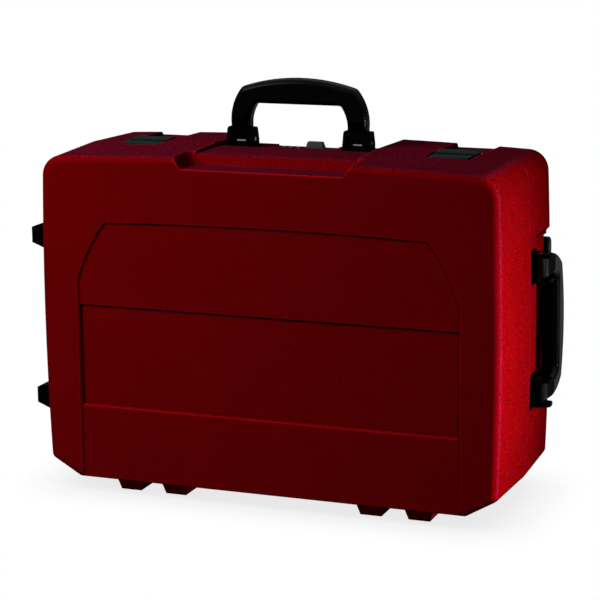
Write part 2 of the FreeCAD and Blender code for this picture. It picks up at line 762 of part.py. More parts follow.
def trough_lip():
    """Cutter that rolls the shelf's front edge down into the trough."""
    lean = S.trough_flare / (S.case_height - S.trough_floor)
    slant = root(lean * lean + 1)
    edge = FRONT + S.trough_floor_depth + lean * (S.shelf_height - S.trough_floor)
    shelf = BASE + S.shelf_height
    run = S.lip_radius * (slant - lean)
    front = edge - run * lean / slant
    points = (
        (front, shelf - run / slant),
        (front, shelf + OVER),
        (edge + run, shelf + OVER),
        (edge + run, shelf),
    )
    return padded("trough_lip", "YZ_Plane", points, S.recess_width, {3: S.lip_radius}, middle=True)


def front_shell():
    outer = block("front_block", as_size(0), as_size(0), S.front_depth, False)
    rounded(outer, S.edge_radius, at_depth(S.front_depth))
    rounded(outer, S.rim_radius, at_depth(as_size(0)))
    inner = block("front_hollow", S.wall, S.wall + S.bottom_relief, S.front_depth - S.wall, False)
    panel, band = front_panel()
    half = S.panel_width / 2 + S.wall
    panel_backing = box(
        "panel_backing",
        (-half, half),
        (FRONT, FRONT + FRONT_WALL),
        (BASE, BASE + S.panel_top + S.panel_crown + S.wall),
    )
    mouth = S.trough_floor_width / 2 + S.trough_flare
    trough_backing = box(
        "trough_backing",
        (-mouth - S.wall, mouth + S.wall),
        (FRONT, FRONT + S.trough_floor_depth + S.trough_flare + S.wall),
        (BASE + S.trough_floor - S.wall, TOP),
    )
    bottom = bottom_cutter("front_bottom", (FRONT - OVER, OVER))
    recesses = [panel, band, finger_trough(), trough_lip(), bottom]
    backings = [panel_backing, trough_backing]
    shelf = (FRONT + S.trough_floor_depth, OVER)
    half = S.recess_width / 2
    hollows = [pit("shelf", (-half, half), shelf, (BASE + S.shelf_height, TOP + OVER))]
    half = S.latch_width / 2 + S.latch_room
    for side, sign in SIDES.items():
        middle = S.latch_spread * sign
        hollows.append(pit(
            f"latch_pocket_{side}",
            (middle - half, middle + half),
            (-S.latch_reach - S.latch_pocket_room, OVER),
            (BASE + S.latch_pocket_floor, TOP + OVER),
        ))
    recesses += [hollow for hollow, backing in hollows]
    backings += [backing for hollow, backing in hollows]
    cavity = cut("front_cavity", inner, *backings)
    walls = cut("front_walls", outer, cavity, *recesses)
    board_back = -(S.lid_foam_face + S.lid_foam + S.board)
    posts = pillars("front_low_post", S.pillar_low, (FRONT + FRONT_WALL - LAP, board_back))
    posts += pillars("front_high_post", S.pillar_high, (FRONT + S.wall - LAP, board_back))
    feet = bottom_feet("front_foot", -1)
    hinge = knuckles("front_knuckle", hinge_spans(True), -1)
    solid = fuse("front_solid", walls, *feet, *hinge, *posts)
    rim = box("front_rim", (-HALF - OVER, HALF + OVER), (-S.rim_gap / 2, as_size(0)), (BASE, TOP + OVER))
    bores = [hinge_bore("front_hinge_bore")]
    for i, spot in enumerate(board_spots()):
        bores.append(screw_bore(f"front_screw_bore_{i}", spot, board_back, -1))
    for low in (S.end_foot_low, S.end_foot_high):
        bores.append(end_screw_bore(f"end_bore_{len(bores)}", low))
    node(cut("front_shell_solid", solid, rim, *bores), "front_shell")
    return outer


def hinge_bore(name):
    return rod(name, "X", (-HALF, HALF), (as_size(0), S.hinge_height), S.hinge_pin_radius + S.pin_clearance)


def screw_bore(name, spot, start, sign):
    """Pilot bore for a board screw in its post."""
    inside = (start - S.board, start + S.screw_length)
    outside = (start - S.screw_length, start + S.board)
    return rod(name, "Y", inside if sign > 0 else outside, spot, S.screw_shank)


def end_screw_bore(name, up):
    reach = (-HALF - S.end_foot_out, -HALF + S.end_foot_out)
    return rod(name, "X", reach, (end_foot_middle(), BASE + up), S.end_screw_shank)


def end_foot_middle():
    return FRONT + S.end_foot_setback + S.end_foot_depth / 2


def rear_recesses():
    """Everything sunk into the rear shell, with the blocks that keep a wall round it."""
    back = (as_size(0) - OVER, S.rear_depth + OVER)
    half = S.recess_width / 2
    well = (S.well_back, S.rear_depth + OVER)
    hollows = [
        pit("handle_recess", (-half, half), back, (BASE + S.recess_floor, TOP + OVER)),
        pit("handle_well", (-half, half), well, (BASE + S.well_floor, TOP + OVER)),
    ]
    half = S.latch_width / 2 + S.latch_room
    for side, sign in SIDES.items():
        middle = S.latch_spread * sign
        hollows.append(pit(
            f"latch_notch_{side}",
            (middle - half, middle + half),
            back,
            (BASE + S.latch_notch_floor, TOP + OVER),
        ))
        hollows.append(pit(
            f"side_seat_{side}",
            (SIDE_SEAT, HALF + OVER),
            around(S.side_pivot_back, S.bracket_depth + S.seat_margin * 2),
            around(SIDE_MIDDLE + S.handle_spread / 2 * sign, S.bracket_width + S.seat_margin * 2),
        ))
    half = S.lock_width / 2 + S.lock_fit
    deep = S.lock_depth / 2 + S.lock_fit
    hollows.append(pit(
        "lock_notch",
        (-half, half),
        (S.lock_back - deep, S.well_back + LAP),
        (BASE + S.lock_floor, BASE + S.recess_floor + OVER),
    ))
    half = S.pull_grip_length / 2 + S.grip_pocket_room
    deep = (S.tube_back - S.pull_grip_depth / 2 - S.grip_pocket_room, S.rear_depth + OVER)
    floor = S.grip_pocket_floor
    hollows.append(pit("grip_pocket", (floor, HALF + OVER), deep, (SIDE_MIDDLE - half, SIDE_MIDDLE + half)))
    fingers = around(SIDE_MIDDLE, S.finger_length)
    hollows.append(pit("finger_pocket", (floor - S.finger_room, floor + LAP), deep, fingers))
    for name, up in (("low", S.wheel_low), ("high", S.wheel_high)):
        x, y, z = wheel_room(up)
        hollows.append(pit(f"wheel_notch_{name}", x, y, z))
    recesses = [hollow for hollow, backing in hollows]
    backings = [backing for hollow, backing in hollows]
    floor = HALF - S.side_pocket_sink
    mouth = HALF + OVER
    run = S.side_pocket_sink + OVER
    low = SIDE_MIDDLE - S.side_pocket_height / 2
    high = SIDE_MIDDLE + S.side_pocket_height / 2
    pocket_front = S.side_pivot_back + S.bracket_depth / 2
    points = ((floor, low), (mouth, low - run), (mouth, high + run), (floor, high))
    pocket = padded("side_pocket", "XZ_Plane", points, S.rear_depth + OVER, reverse=True)
    recesses.append(place(pocket, y=pocket_front))
    backings.append(box(
        "side_pocket_backing",
        (floor - S.wall, mouth),
        (pocket_front - S.wall, S.rear_depth + OVER),
        (low - S.side_pocket_sink - S.wall, high + S.side_pocket_sink + S.wall),
    ))
    return recesses, backings


def wheel_axis():
    return (-HALF - S.wheel_out + S.wheel_radius, S.wheel_back)


def wheel_room(up):
    """The corner block that one wheel and its cradle take up."""
    across, back = wheel_axis()
    reach = S.wheel_radius + S.wheel_room
    height = S.wheel_width + (S.wheel_side_room + S.cradle_wall) * 2
    return (-HALF - OVER, across + reach), (back - reach, S.rear_depth + OVER), around(BASE + up, height)


def tube_rail(name, up):
    """Bevelled rail on the rear face round one pull tube."""
    half = S.rail_width / 2
    points = (
        (S.rail_front, up - half),
        (S.rail_back - S.rail_bevel, up - half),
        (S.rail_back, up - half + S.rail_bevel),
        (S.rail_back, up + half - S.rail_bevel),
        (S.rail_back - S.rail_bevel, up + half),
        (S.rail_front, up + half),
    )
    length = S.grip_pocket_floor - S.outer_tube_left + S.rail_end
    return place(padded(name, "YZ_Plane", points, length), x=S.outer_tube_left - S.rail_end)


def tube_heights():
    return (SIDE_MIDDLE - S.tube_spread, SIDE_MIDDLE + S.tube_spread)


def rear_shell():
    outer = block("rear_block", as_size(0), as_size(0), S.rear_depth, True)
    rounded(outer, S.edge_radius, at_depth(S.rear_depth))
    rounded(outer, S.rim_radius, at_depth(as_size(0)))
    inner = block("rear_hollow", S.wall, S.wall + S.bottom_relief, S.rear_depth - S.wall, True)
    recesses, backings = rear_recesses()
    cavity = cut("rear_cavity", inner, *backings)
    bottom = bottom_cutter("rear_bottom", (as_size(0) - OVER, S.rear_depth + OVER))
    walls = cut("rear_walls", outer, cavity, bottom, *recesses)
    board_back = S.foam_face + S.foam + S.board
    reach = (board_back, S.rear_depth - S.wall + LAP)
    posts = pillars("rear_low_post", S.pillar_low, reach) + pillars("rear_high_post", S.pillar_high, reach)
    rails = [tube_rail(f"rail_{i}", up) for i, up in enumerate(tube_heights())]
    feet = bottom_feet("rear_foot", 1)
    hinge = knuckles("rear_knuckle", hinge_spans(False), 1)
    solid = fuse("rear_solid", walls, *feet, *hinge, *posts, *rails)
    rim = box("rear_rim", (-HALF - OVER, HALF + OVER), (as_size(0), S.rim_gap / 2), (BASE, TOP + OVER))
    bores = [hinge_bore("rear_hinge_bore")]
    for i, spot in enumerate(board_spots()):
        bores.append(screw_bore(f"rear_screw_bore_{i}", spot, board_back, 1))
    for i, up in enumerate(tube_heights()):
        spot = (S.tube_back, up)
        mouth = S.grip_pocket_floor
        bores.append(rod(
            f"tube_bore_{i}", "X", (S.outer_tube_left, mouth), spot, S.outer_tube_radius + S.tube_fit))
        reach = (mouth - S.collar_length, mouth + LAP)
        bores.append(rod(f"collar_bore_{i}", "X", reach, spot, S.collar_radius))
    for side, sign in SIDES.items():
        bores.append(latch_rod(f"latch_bore_{side}", sign, S.latch_pin_anchor, S.latch_pin_radius))
    node(cut("rear_shell_solid", solid, rim, *bores), "rear_shell")


def latch_rod(name, sign, anchor, radius):
    half = S.latch_width / 2 + S.latch_room + anchor
    middle = S.latch_spread * sign
    centre = (S.latch_pivot_back, BASE + S.latch_pivot)
    return rod(name, "X", (middle - half, middle + half), centre, radius)


def hinge_pins():
    pins = []
    for side, sign in SIDES.items():
        reach = around(S.hinge_spread * sign, S.hinge_length)
        pins.append(rod(f"hinge_pin_{side}", "X", reach, (as_size(0), S.hinge_height), S.hinge_pin_radius))
    node(group("hinge_pin_pair", pins), "hinge_pins")


def carry_handle(name):
    """Arched grip with two legs, upright about a pivot on the x axis."""
    leg_in = (S.handle_spread - S.leg_width) / 2
    leg_out = (S.handle_spread + S.leg_width) / 2
    inner = S.grip_inner_width / 2
    corner = S.grip_outer_width / 2
    foot = -S.eye_radius
    arch = (
        (-leg_out, foot),
        (leg_out, foot),
        (leg_out, S.leg_straight),
        (corner, S.grip_shoulder),
        (-corner, S.grip_shoulder),
        (-leg_out, S.leg_straight),
    )
    top_bow = bow_radius(S.grip_outer_width, S.grip_crown)
    arcs = {2: S.leg_outer_radius, 3: top_bow, 4: S.leg_outer_radius}
    bow = padded(f"{name}_bow", "XZ_Plane", arch, S.grip_thickness, arcs, middle=True)
    hand_space = (
        (-leg_in, foot - OVER),
        (leg_in, foot - OVER),
        (leg_in, S.leg_straight),
        (inner, S.grip_underside),
        (-inner, S.grip_underside),
        (-leg_in, S.leg_straight),
    )
    arcs = {2: S.leg_inner_radius, 4: S.leg_inner_radius}
    pocketed(bow, "XZ_Plane", hand_space, S.grip_thickness + OVER, arcs)
    low = S.eye_radius.value
    full = S.leg_full.value
    middle = (S.grip_shoulder + S.grip_underside).value / 2
    rounded(bow, S.grip_corner, lambda edge: runs_deep(edge) and ends(edge)[0].z > middle)
    rounded(bow, S.grip_inner_corner, lambda edge: runs_deep(edge) and middle > ends(edge)[0].z > full)
    rounded(bow, S.grip_rounding, lambda edge: in_plane(edge) and max(spot.z for spot in ends(edge)) > low)
    half = S.grip_thickness / 2
    eye = S.eye_radius
    side_view = (
        (-eye, S.handle_pin_radius),
        (eye, S.handle_pin_radius),
        (eye, S.leg_slim),
        (half, S.leg_full),
        (half, S.grip_shoulder + S.grip_crown + OVER),
        (-half, S.grip_shoulder + S.grip_crown + OVER),
        (-half, S.leg_full),
        (-eye, S.leg_slim),
    )
    width = S.handle_spread + S.leg_width + OVER
    slab = padded(f"{name}_slab", "YZ_Plane", side_view, width, middle=True)
    barrel = rod(f"{name}_barrel", "X", (-width / 2, width / 2), (0, 0), eye)
    neck = box(
        f"{name}_neck", (-width / 2, width / 2), (-eye, eye), (as_size(0), S.leg_slim))
    body = common(f"{name}_body", bow, fuse(f"{name}_profile", slab, barrel, neck))
    bore = rod(f"{name}_bore", "X", (-width / 2, width / 2), (0, 0), S.handle_pin_radius + S.pin_clearance)
    windows = []
    for side, sign in SIDES.items():
        windows.append(box(
            f"{name}_window_{side}",
            around(S.handle_spread / 2 * sign, S.window_width),
            (-eye - LAP, as_size(0)),
            around(-S.window_height / 2, S.window_height),
        ))
    return cut(f"{name}_solid", body, bore, *windows)


def bracket(name):
    """Base plate with two cheeks, pin along x, seat below."""
    seat = -S.pivot_height
    plate = box(
        f"{name}_plate",
        around(as_size(0), S.bracket_width),
        around(as_size(0), S.bracket_depth),
        (seat, seat + S.bracket_plate),
    )
    low = S.bracket_depth / 2
    high = S.cheek_top_depth / 2
    shoulder = seat + S.bracket_shoulder
    top = seat + S.bracket_rise
    points = ((-low, seat), (low, seat), (low, shoulder), (high, top), (-high, top), (-low, shoulder))
    cheeks = []
    inner = S.leg_width / 2 + S.cheek_clearance
    for side, sign in SIDES.items():
        cheek = padded(f"{name}_cheek_{side}", "YZ_Plane", points, S.cheek, middle=True)
        middle = (shoulder + top).value / 2
        rounded(cheek, S.cheek, lambda edge: runs_across(edge) and ends(edge)[0].z > middle)
        cheeks.append(place(cheek, x=(inner + S.cheek / 2) * sign))
    body = fuse(f"{name}_body", plate, *cheeks)
    bore = rod(f"{name}_bore", "X", around(as_size(0), S.bracket_width), (0, 0), S.handle_pin_radius)
    return cut(f"{name}_solid", body, bore)


def handle_pin(name):
    reach = S.leg_width + (S.cheek + S.cheek_clearance) * 2
    return rod(name, "X", around(as_size(0), reach), (0, 0), S.handle_pin_radius)


def handles():
    top = place(carry_handle("top_handle"), y=S.top_pivot_back, z=TOP_PIVOT)
    node(top, "top_handle")
    side = place(carry_handle("side_handle"), SIDE_PIVOT, S.side_pivot_back, SIDE_MIDDLE, FOLDED_BACK)
    node(side, "side_handle")
    top_pins = []
    side_pins = []
    for end, sign in SIDES.items():
        across = S.handle_spread / 2 * sign
        post = place(bracket(f"top_bracket_{end}"), across, S.top_pivot_back, TOP_PIVOT)
        node(post, f"top_handle_bracket_{end}")
        pin = handle_pin(f"top_pin_{end}")
        top_pins.append(along(pin, "X", across - pin_half(), (S.top_pivot_back, TOP_PIVOT)))
        level = "upper" if sign > 0 else "lower"
        up = SIDE_MIDDLE + across
        post = place(bracket(f"side_bracket_{level}"), SIDE_PIVOT, S.side_pivot_back, up, FACING_RIGHT)
        node(post, f"side_handle_bracket_{level}")
        pin = handle_pin(f"side_pin_{level}")
        side_pins.append(along(pin, "Z", up - pin_half(), (SIDE_PIVOT, S.side_pivot_back)))
    node(group("top_pin_pair", top_pins), "top_handle_pins")
    node(group("side_pin_pair", side_pins), "side_handle_pins")


def pin_half():
    return S.leg_width / 2 + S.cheek + S.cheek_clearance


def latches():
    pins = []
    for side, sign in SIDES.items():
        middle = S.latch_spread * sign
        top = BASE + S.latch_top
        under = top - S.latch_plate
        front_top = top - S.latch_step
        nose = S.latch_nose - S.latch_reach
        points = (
            (-S.latch_reach, BASE + S.latch_nose_low),
            (nose, BASE + S.latch_nose_low),
            (nose, under),
            (S.latch_tail, under),
            (S.latch_tail, top - S.latch_groove_sink),
            (S.latch_tail - S.latch_nose, top),
            (S.latch_groove / 2, top),
            (S.latch_groove / 2, front_top),
            (S.latch_groove_sink - S.latch_reach, front_top),
            (-S.latch_reach, front_top - S.latch_groove_sink),
        )
        plate = padded(f"latch_plate_{side}", "YZ_Plane", points, S.latch_width, middle=True)
        place(plate, x=middle)
        reach = around(middle, S.latch_width)
        centre = (S.latch_pivot_back, BASE + S.latch_pivot)
        barrel = rod(f"latch_barrel_{side}", "X", reach, centre, S.latch_barrel)
        lever = fuse(f"latch_body_{side}", plate, barrel)
        bore = rod(f"lever_bore_{side}", "X", reach, centre, S.latch_pin_radius + S.pin_clearance)
        groove = box(
            f"latch_groove_{side}",
            reach,
            around(as_size(0), S.latch_groove),
            (front_top - S.latch_groove_sink / 2, top + OVER),
        )
        node(cut(f"latch_solid_{side}", lever, bore, groove), f"latch_lever_{side}")
        pins.append(latch_rod(f"latch_pin_{side}", sign, S.latch_pin_anchor, S.latch_pin_radius))
    node(group("latch_pin_pair", pins), "latch_pins")


def lock():
    half = S.lock_width / 2
    across = [S.dial_first + S.dial_pitch * i for i in range(DIALS)]
    up = BASE + S.dial_height
    case = box(
        "lock_case",
        (-half, half),
        around(S.lock_back, S.lock_depth),
        (BASE + S.lock_floor, BASE + S.lock_top),
    )
    wells = []
    well = (S.dial_radius + S.dial_room) * 2
    for i, middle in enumerate(across):
        wells.append(box(
            f"dial_well_{i}",
            around(middle, S.dial_width + S.dial_room * 2),
            around(S.lock_back, well),
            (up - S.dial_radius - S.dial_room, up + OVER),
        ))
        reach = around(middle, S.dial_width)
        dial = prism(f"dial_body_{i}", "X", reach, (S.lock_back, up), S.dial_radius, DIGITS)
        bore = rod(f"dial_bore_{i}", "X", reach, (S.lock_back, up), S.dial_axle_radius + S.pin_clearance)
        node(cut(f"dial_solid_{i}", dial, bore), f"lock_dial_{i + 1}")
    anchor = S.dial_width / 2 + S.dial_room + S.dial_axle_anchor
    reach = (across[0] - anchor, across[-1] + anchor)
    axle = rod("dial_axle", "X", reach, (S.lock_back, up), S.dial_axle_radius)
    wells.append(rod("axle_bore", "X", reach, (S.lock_back, up), S.dial_axle_radius))
    node(axle, "lock_dial_axle")
    middle = S.slide_left + S.slide_length / 2
    stem = around(middle, S.slide_stem)
    wells.append(box(
        "stem_slot",
        (stem[0] - S.dial_room, stem[1] + S.slide_travel + S.dial_room),
        around(S.lock_back, S.slide_stem_depth + S.dial_room * 2),
        (BASE + S.slide_stem_low - S.dial_room, up + OVER),
    ))
    node(cut("lock_solid", case, *wells), "lock_housing")
    low = BASE + S.lock_top + S.lock_fit
    flat = ((S.slide_left, S.slide_left + S.slide_length), around(S.lock_back, S.slide_depth))
    taper = S.slide_taper * 2
    crown = (around(middle, S.slide_length - taper), around(S.lock_back, S.slide_depth - taper))
    knob = wedge("slide_knob", (low, BASE + S.slide_top), flat, crown)
    post = box(
        "slide_post", stem, around(S.lock_back, S.slide_stem_depth), (BASE + S.slide_stem_low, low + LAP))
    node(fuse("slide_solid", knob, post), "lock_slide")


def pull_handle():
    outer, inner, collars = [], [], []
    floor = S.grip_pocket_floor + S.pull_grip_gap
    grip_top = floor + S.pull_grip_rise
    bottom = floor + S.tube_seat
    sockets = []
    for i, up in enumerate(tube_heights()):
        spot = (S.tube_back, up)
        reach = (S.outer_tube_left, S.grip_pocket_floor - S.collar_length)
        outer.append(tube(f"outer_tube_{i}", reach, spot, S.outer_tube_radius, S.outer_tube_wall))
        reach = (S.inner_tube_left, bottom)
        inner.append(tube(f"inner_tube_{i}", reach, spot, S.inner_tube_radius, S.inner_tube_wall))
        sockets.append(rod(f"tube_socket_{i}", "X", (floor - LAP, bottom), spot, S.inner_tube_radius))
        reach = (S.grip_pocket_floor - S.collar_length, S.grip_pocket_floor)
        ring = rod(f"collar_ring_{i}", "X", reach, spot, S.collar_radius)
        hole = rod(f"collar_hole_{i}", "X", reach, spot, S.inner_tube_radius + S.pin_clearance)
        collars.append(cut(f"collar_{i}", ring, hole))
    node(group("outer_tubes", outer), "pull_outer_tubes")
    node(group("inner_tubes", inner), "pull_inner_tubes")
    node(group("collar_pair", collars), "pull_collars")
    half = S.pull_grip_length / 2
    deep = S.pull_grip_depth / 2
    points = (
        (S.tube_back - deep, SIDE_MIDDLE - half),
        (S.tube_back + deep, SIDE_MIDDLE - half),
        (S.tube_back + deep, SIDE_MIDDLE + half),
        (S.tube_back - deep, SIDE_MIDDLE + half),
    )
    bar = padded("pull_bar", "YZ_Plane", points, S.pull_grip_rise)
    face = S.pull_grip_rise.value
    rounded(bar, S.pull_grip_end_radius, runs_across)
    rounded(bar, S.pull_grip_rounding, lambda edge: min(spot.x for spot in ends(edge)) > face - NEAR)
    place(bar, x=floor)
    well_floor = grip_top - S.button_sunk - S.button_travel - S.button_fit
    well = box(
        "button_well",
        (well_floor, grip_top + OVER),
        around(S.tube_back, S.button_depth + S.button_fit * 2),
        around(SIDE_MIDDLE, S.button_length + S.button_fit * 2),
    )
    node(cut("pull_grip_solid", bar, well, *sockets), "pull_grip")
    button = box(
        "pull_button_block",
        (grip_top - S.button_sunk, grip_top + S.button_rise),
        around(S.tube_back, S.button_depth),
        around(SIDE_MIDDLE, S.button_length),
    )
    node(button, "pull_button")


def tube(name, reach, spot, radius, wall):
    skin = rod(f"{name}_skin", "X", reach, spot, radius)
    bore = rod(f"{name}_bore", "X", reach, spot, radius - wall)
    return cut(name, skin, bore)


def wheels():
    across, back = wheel_axis()
    half = S.wheel_width / 2
    rim = S.wheel_radius - S.tyre_depth
    bore = S.axle_radius + S.pin_clearance
    boss = half + S.wheel_side_room / 2
    tyre_profile = (
        (rim, -half),
        (S.wheel_radius - S.tyre_shoulder, -half),
        (S.wheel_radius, S.tyre_shoulder - half),
        (S.wheel_radius, half - S.tyre_shoulder),
        (S.wheel_radius - S.tyre_shoulder, half),
        (rim, half),
    )
    hub_profile = (
        (bore, -boss),
        (S.hub_boss_radius, -boss),
        (S.hub_boss_radius, S.hub_dish - half),
        (rim - S.hub_dish, S.hub_dish - half),
        (rim, -half),
        (rim, half),
        (rim - S.hub_dish, half - S.hub_dish),
        (S.hub_boss_radius, half - S.hub_dish),
        (S.hub_boss_radius, boss),
        (bore, boss),
    )
    axles = []
    for name, level in (("lower", S.wheel_low), ("upper", S.wheel_high)):
        up = BASE + level
        node(place(turned(f"tyre_{name}", tyre_profile), across, back, up), f"wheel_tyre_{name}")
        node(place(turned(f"hub_{name}", hub_profile), across, back, up), f"wheel_hub_{name}")
        x, y, z = wheel_room(level)
        axles.append(rod(f"axle_{name}", "Z", z, (across, back), S.axle_radius))
        side = S.cradle_wall
        left = -HALF + S.edge_radius
        frame = box(f"cradle_block_{name}", (left, x[1]), (y[0], S.rear_depth - S.edge_radius), z)
        room = box(
            f"cradle_room_{name}",
            (x[0], x[1] - side),
            (y[0] + side, y[1]),
            (z[0] + side, z[1] - side),
        )
        bearing = rod(f"cradle_bore_{name}", "Z", z, (across, back), S.axle_radius)
        node(cut(f"cradle_{name}", frame, room, bearing), f"wheel_cradle_{name}")
    node(group("axle_pair", axles), "wheel_axles")


def end_feet(skin):
    """Tapered feet on the left end, shaped to the shell's skin, with their screws."""
    screws = []
    outside = HALF + S.end_foot_out
    middle = end_foot_middle()
    for name, level in (("lower", S.end_foot_low), ("upper", S.end_foot_high)):
        up = BASE + level
        solid = doc.addObject("Part::Wedge", f"end_foot_block_{name}")
        wide = S.end_foot_height / 2
        flat = S.end_foot_flat / 2
        deep = S.end_foot_depth / 2
        flat_deep = S.end_foot_flat_depth / 2
        bind(solid, Ymin=HALF - S.end_foot_out, Ymax=outside)
        bind(solid, Xmin=up - wide, Xmax=up + wide, Zmin=-middle - deep, Zmax=deep - middle)
        bind(solid, X2min=up - flat, X2max=up + flat, Z2min=-middle - flat_deep, Z2max=flat_deep - middle)
        place(solid, turn=FACING_LEFT)
        centre = (middle, up)
        head = (-outside - LAP, S.end_screw_sink - outside)
        counterbore = rod(f"end_counterbore_{name}", "X", head, centre, S.end_screw_head)
        bore = end_screw_bore(f"end_foot_bore_{name}", level)
        node(cut(f"end_foot_solid_{name}", solid, skin, counterbore, bore), f"end_foot_{name}")
        head = (S.end_screw_sink - S.end_screw_head_height - outside, S.end_screw_sink - outside)
        cap = rod(f"end_screw_head_{name}", "X", head, centre, S.end_screw_head)
        reach = (S.end_screw_sink - outside, -HALF + S.end_foot_out)
        shank = rod(f"end_screw_shank_{name}", "X", reach, centre, S.end_screw_shank)
        screws.append(fuse(f"end_screw_{name}", cap, shank))
    node(group("end_screw_pair", screws), "end_foot_screws")


def board(name, face, sign, spots):
    """A flat board on its posts, with its screws let in flush."""
    far = face + S.board * sign
    reach = (face, far) if sign > 0 else (far, face)
    half = S.board_width / 2
    plate = box(f"{name}_plate", (-half, half), reach, around(BOARD_MIDDLE, S.board_height))
    holes, screws = [], []
    sunk = face + S.screw_head_height * sign
    tip = far + (S.screw_length - S.board) * sign
    for i, spot in enumerate(spots):
        head = (face, sunk) if sign > 0 else (sunk, face)
        shank = (sunk, tip) if sign > 0 else (tip, sunk)
        through = (sunk, far) if sign > 0 else (far, sunk)
        holes.append(rod(f"{name}_sink_{i}", "Y", head, spot, S.screw_head))
        holes.append(rod(f"{name}_hole_{i}", "Y", through, spot, S.screw_shank))
        cap = rod(f"{name}_cap_{i}", "Y", head, spot, S.screw_head)
        pin = rod(f"{name}_pin_{i}", "Y", shank, spot, S.screw_shank)
        screws.append(fuse(f"{name}_screw_{i}", cap, pin))
    node(cut(f"{name}_solid", plate, *holes), f"{name}_board")
    node(group(f"{name}_screw_set", screws), f"{name}_screws")


def linings():
    spots = board_spots()
    board("tray", S.foam_face + S.foam, 1, spots)
    board("lid", -(S.lid_foam_face + S.lid_foam), -1, spots)
    half = S.board_width / 2
    pad = box(
        "lid_foam_pad",
        (-half, half),
        (-(S.lid_foam_face + S.lid_foam), -S.lid_foam_face),
        around(BOARD_MIDDLE, S.board_height),
    )
    node(pad, "lid_foam")


def socket(name, flats, spot, radius, height, sink, drive):
    """Upright socket in the foam: hexagon towards the lid, drive square towards the tray."""
    front = S.foam_face + sink - height
    back = S.foam_face + sink
    middle = (front + back) / 2
    skin = rod(f"{name}_skin", "Y", (front, back), spot, radius)
    hexagon = prism(f"{name}_hex", "Y", (front - LAP, middle), spot, as_size(flats) / math.sqrt(3), HEXAGON)
    side = drive + S.drive_fit * 2
    square = box(f"{name}_drive", around(spot[0], side), (middle + LAP, back + LAP), around(spot[1], side))
    pocket = rod(f"{name}_pocket", "Y", (S.foam_face - LAP, back), spot, radius + S.tool_fit)
    return cut(name, skin, hexagon, square), pocket


def socket_row(name, flats_list, up, pitch, height, sink, drive, collar, margin):
    made = []
    for i, flats in enumerate(flats_list):
        across = pitch * (i - (len(flats_list) - 1) / 2)
        outside = larger(collar, flats * (S.socket_wall * 2 + 1) + margin)
        made.append(socket(f"{name}_{i}", flats, (across, BASE + up), outside / 2, height, sink, drive))
    node(group(f"{name}_set", [solid for solid, pocket in made]), name)
    return [pocket for solid, pocket in made]


def ratchet():
    """Reversible ratchet, lever side up, drive square down in the foam."""
    x = S.ratchet_head_across
    z = BASE + S.row_ratchet
    spot = (x, z)
    front = S.foam_face - S.ratchet_proud
    back = front + S.ratchet_head_height
    cover = front + S.ratchet_cover_height
    gear_back = back - S.ratchet_floor
    gear_front = gear_back - S.ratchet_gear_height
    grip_right = x + S.ratchet_length
    grip_left = grip_right - S.ratchet_grip_length
    axis = (S.foam_face, z)
    head = rod("ratchet_head", "Y", (front, back), spot, S.ratchet_head_radius)
    shank = rod("ratchet_shank", "X", (x, grip_right), axis, S.ratchet_shank_radius)
    seat = rod("ratchet_cover_seat", "Y", (front - LAP, cover), spot, S.ratchet_cover_radius)
    play = S.pin_clearance
    gear_room = rod("gear_room", "Y", (cover - LAP, gear_back), spot, S.ratchet_gear_radius + play)
    neck_room = rod("neck_room", "Y", (gear_back - LAP, back + LAP), spot, S.ratchet_neck_radius + play)
    forging = fuse("ratchet_forging", head, shank)
    node(cut("ratchet_solid", forging, seat, gear_room, neck_room), "ratchet_body")
    sleeve = rod("ratchet_sleeve", "X", (grip_left, grip_right), axis, S.ratchet_grip_radius)
    core = rod("ratchet_core", "X", (grip_left, grip_right), axis, S.ratchet_shank_radius)
    node(cut("ratchet_grip_solid", sleeve, core), "ratchet_grip")
    gear = prism(
        "ratchet_gear",
        "Y",
        (gear_front, gear_back - S.ratchet_play),
        spot,
        S.ratchet_gear_radius,
        int(S.ratchet_teeth.value),
    )
    neck = rod("ratchet_neck", "Y", (gear_front, back), spot, S.ratchet_neck_radius)
    square = box(
        "ratchet_square",
        around(x, S.drive_large),
        (back - LAP, back + S.drive_length),
        around(z, S.drive_large),
    )
    node(fuse("ratchet_drive_solid", gear, neck, square), "ratchet_drive")
    pivot = (x + S.reverse_offset, z)
    plate = rod("ratchet_plate", "Y", (front, cover), spot, S.ratchet_cover_radius)
    stem_reach = (front - LAP, front + S.reverse_stem)
    stem_hole = rod("reverse_hole", "Y", stem_reach, pivot, S.reverse_stem_radius + play)
    release_hole = rod("release_hole", "Y", (front - LAP, cover + LAP), spot, S.release_radius + play)
    node(cut("ratchet_cover_solid", plate, stem_hole, release_hole), "ratchet_cover")
    top = front - S.reverse_gap - S.reverse_height
    low = front - S.reverse_gap
    disc = rod("reverse_disc", "Y", (top, low), pivot, S.reverse_radius)
    arm_reach = (pivot[0], pivot[0] + S.reverse_arm)
    arm = box("reverse_arm", arm_reach, (top, low), around(z, S.reverse_arm_width))
    stem_reach = (low - LAP, front + S.reverse_stem - S.reverse_gap)
    stem = rod("reverse_stem", "Y", stem_reach, pivot, S.reverse_stem_radius)
    node(fuse("reverse_solid", disc, arm, stem), "ratchet_lever")
    release_reach = (front - S.release_rise, front + S.release_sunk)
    node(rod("release_solid", "Y", release_reach, spot, S.release_radius), "ratchet_button")
    fit = S.tool_fit
    radius = S.ratchet_grip_radius + fit
    return [
        rod("head_pocket", "Y", (S.foam_face - LAP, back + fit), spot, S.ratchet_head_radius + fit),
        rod("square_pocket", "Y", (back - LAP, back + S.drive_length + fit), spot, S.ratchet_neck_radius),
        rod("ratchet_grip_pocket", "X", (grip_left - fit, grip_right + fit), axis, radius),
        rod("ratchet_shank_pocket", "X", (x, grip_right), axis, S.ratchet_shank_radius + fit),
    ]


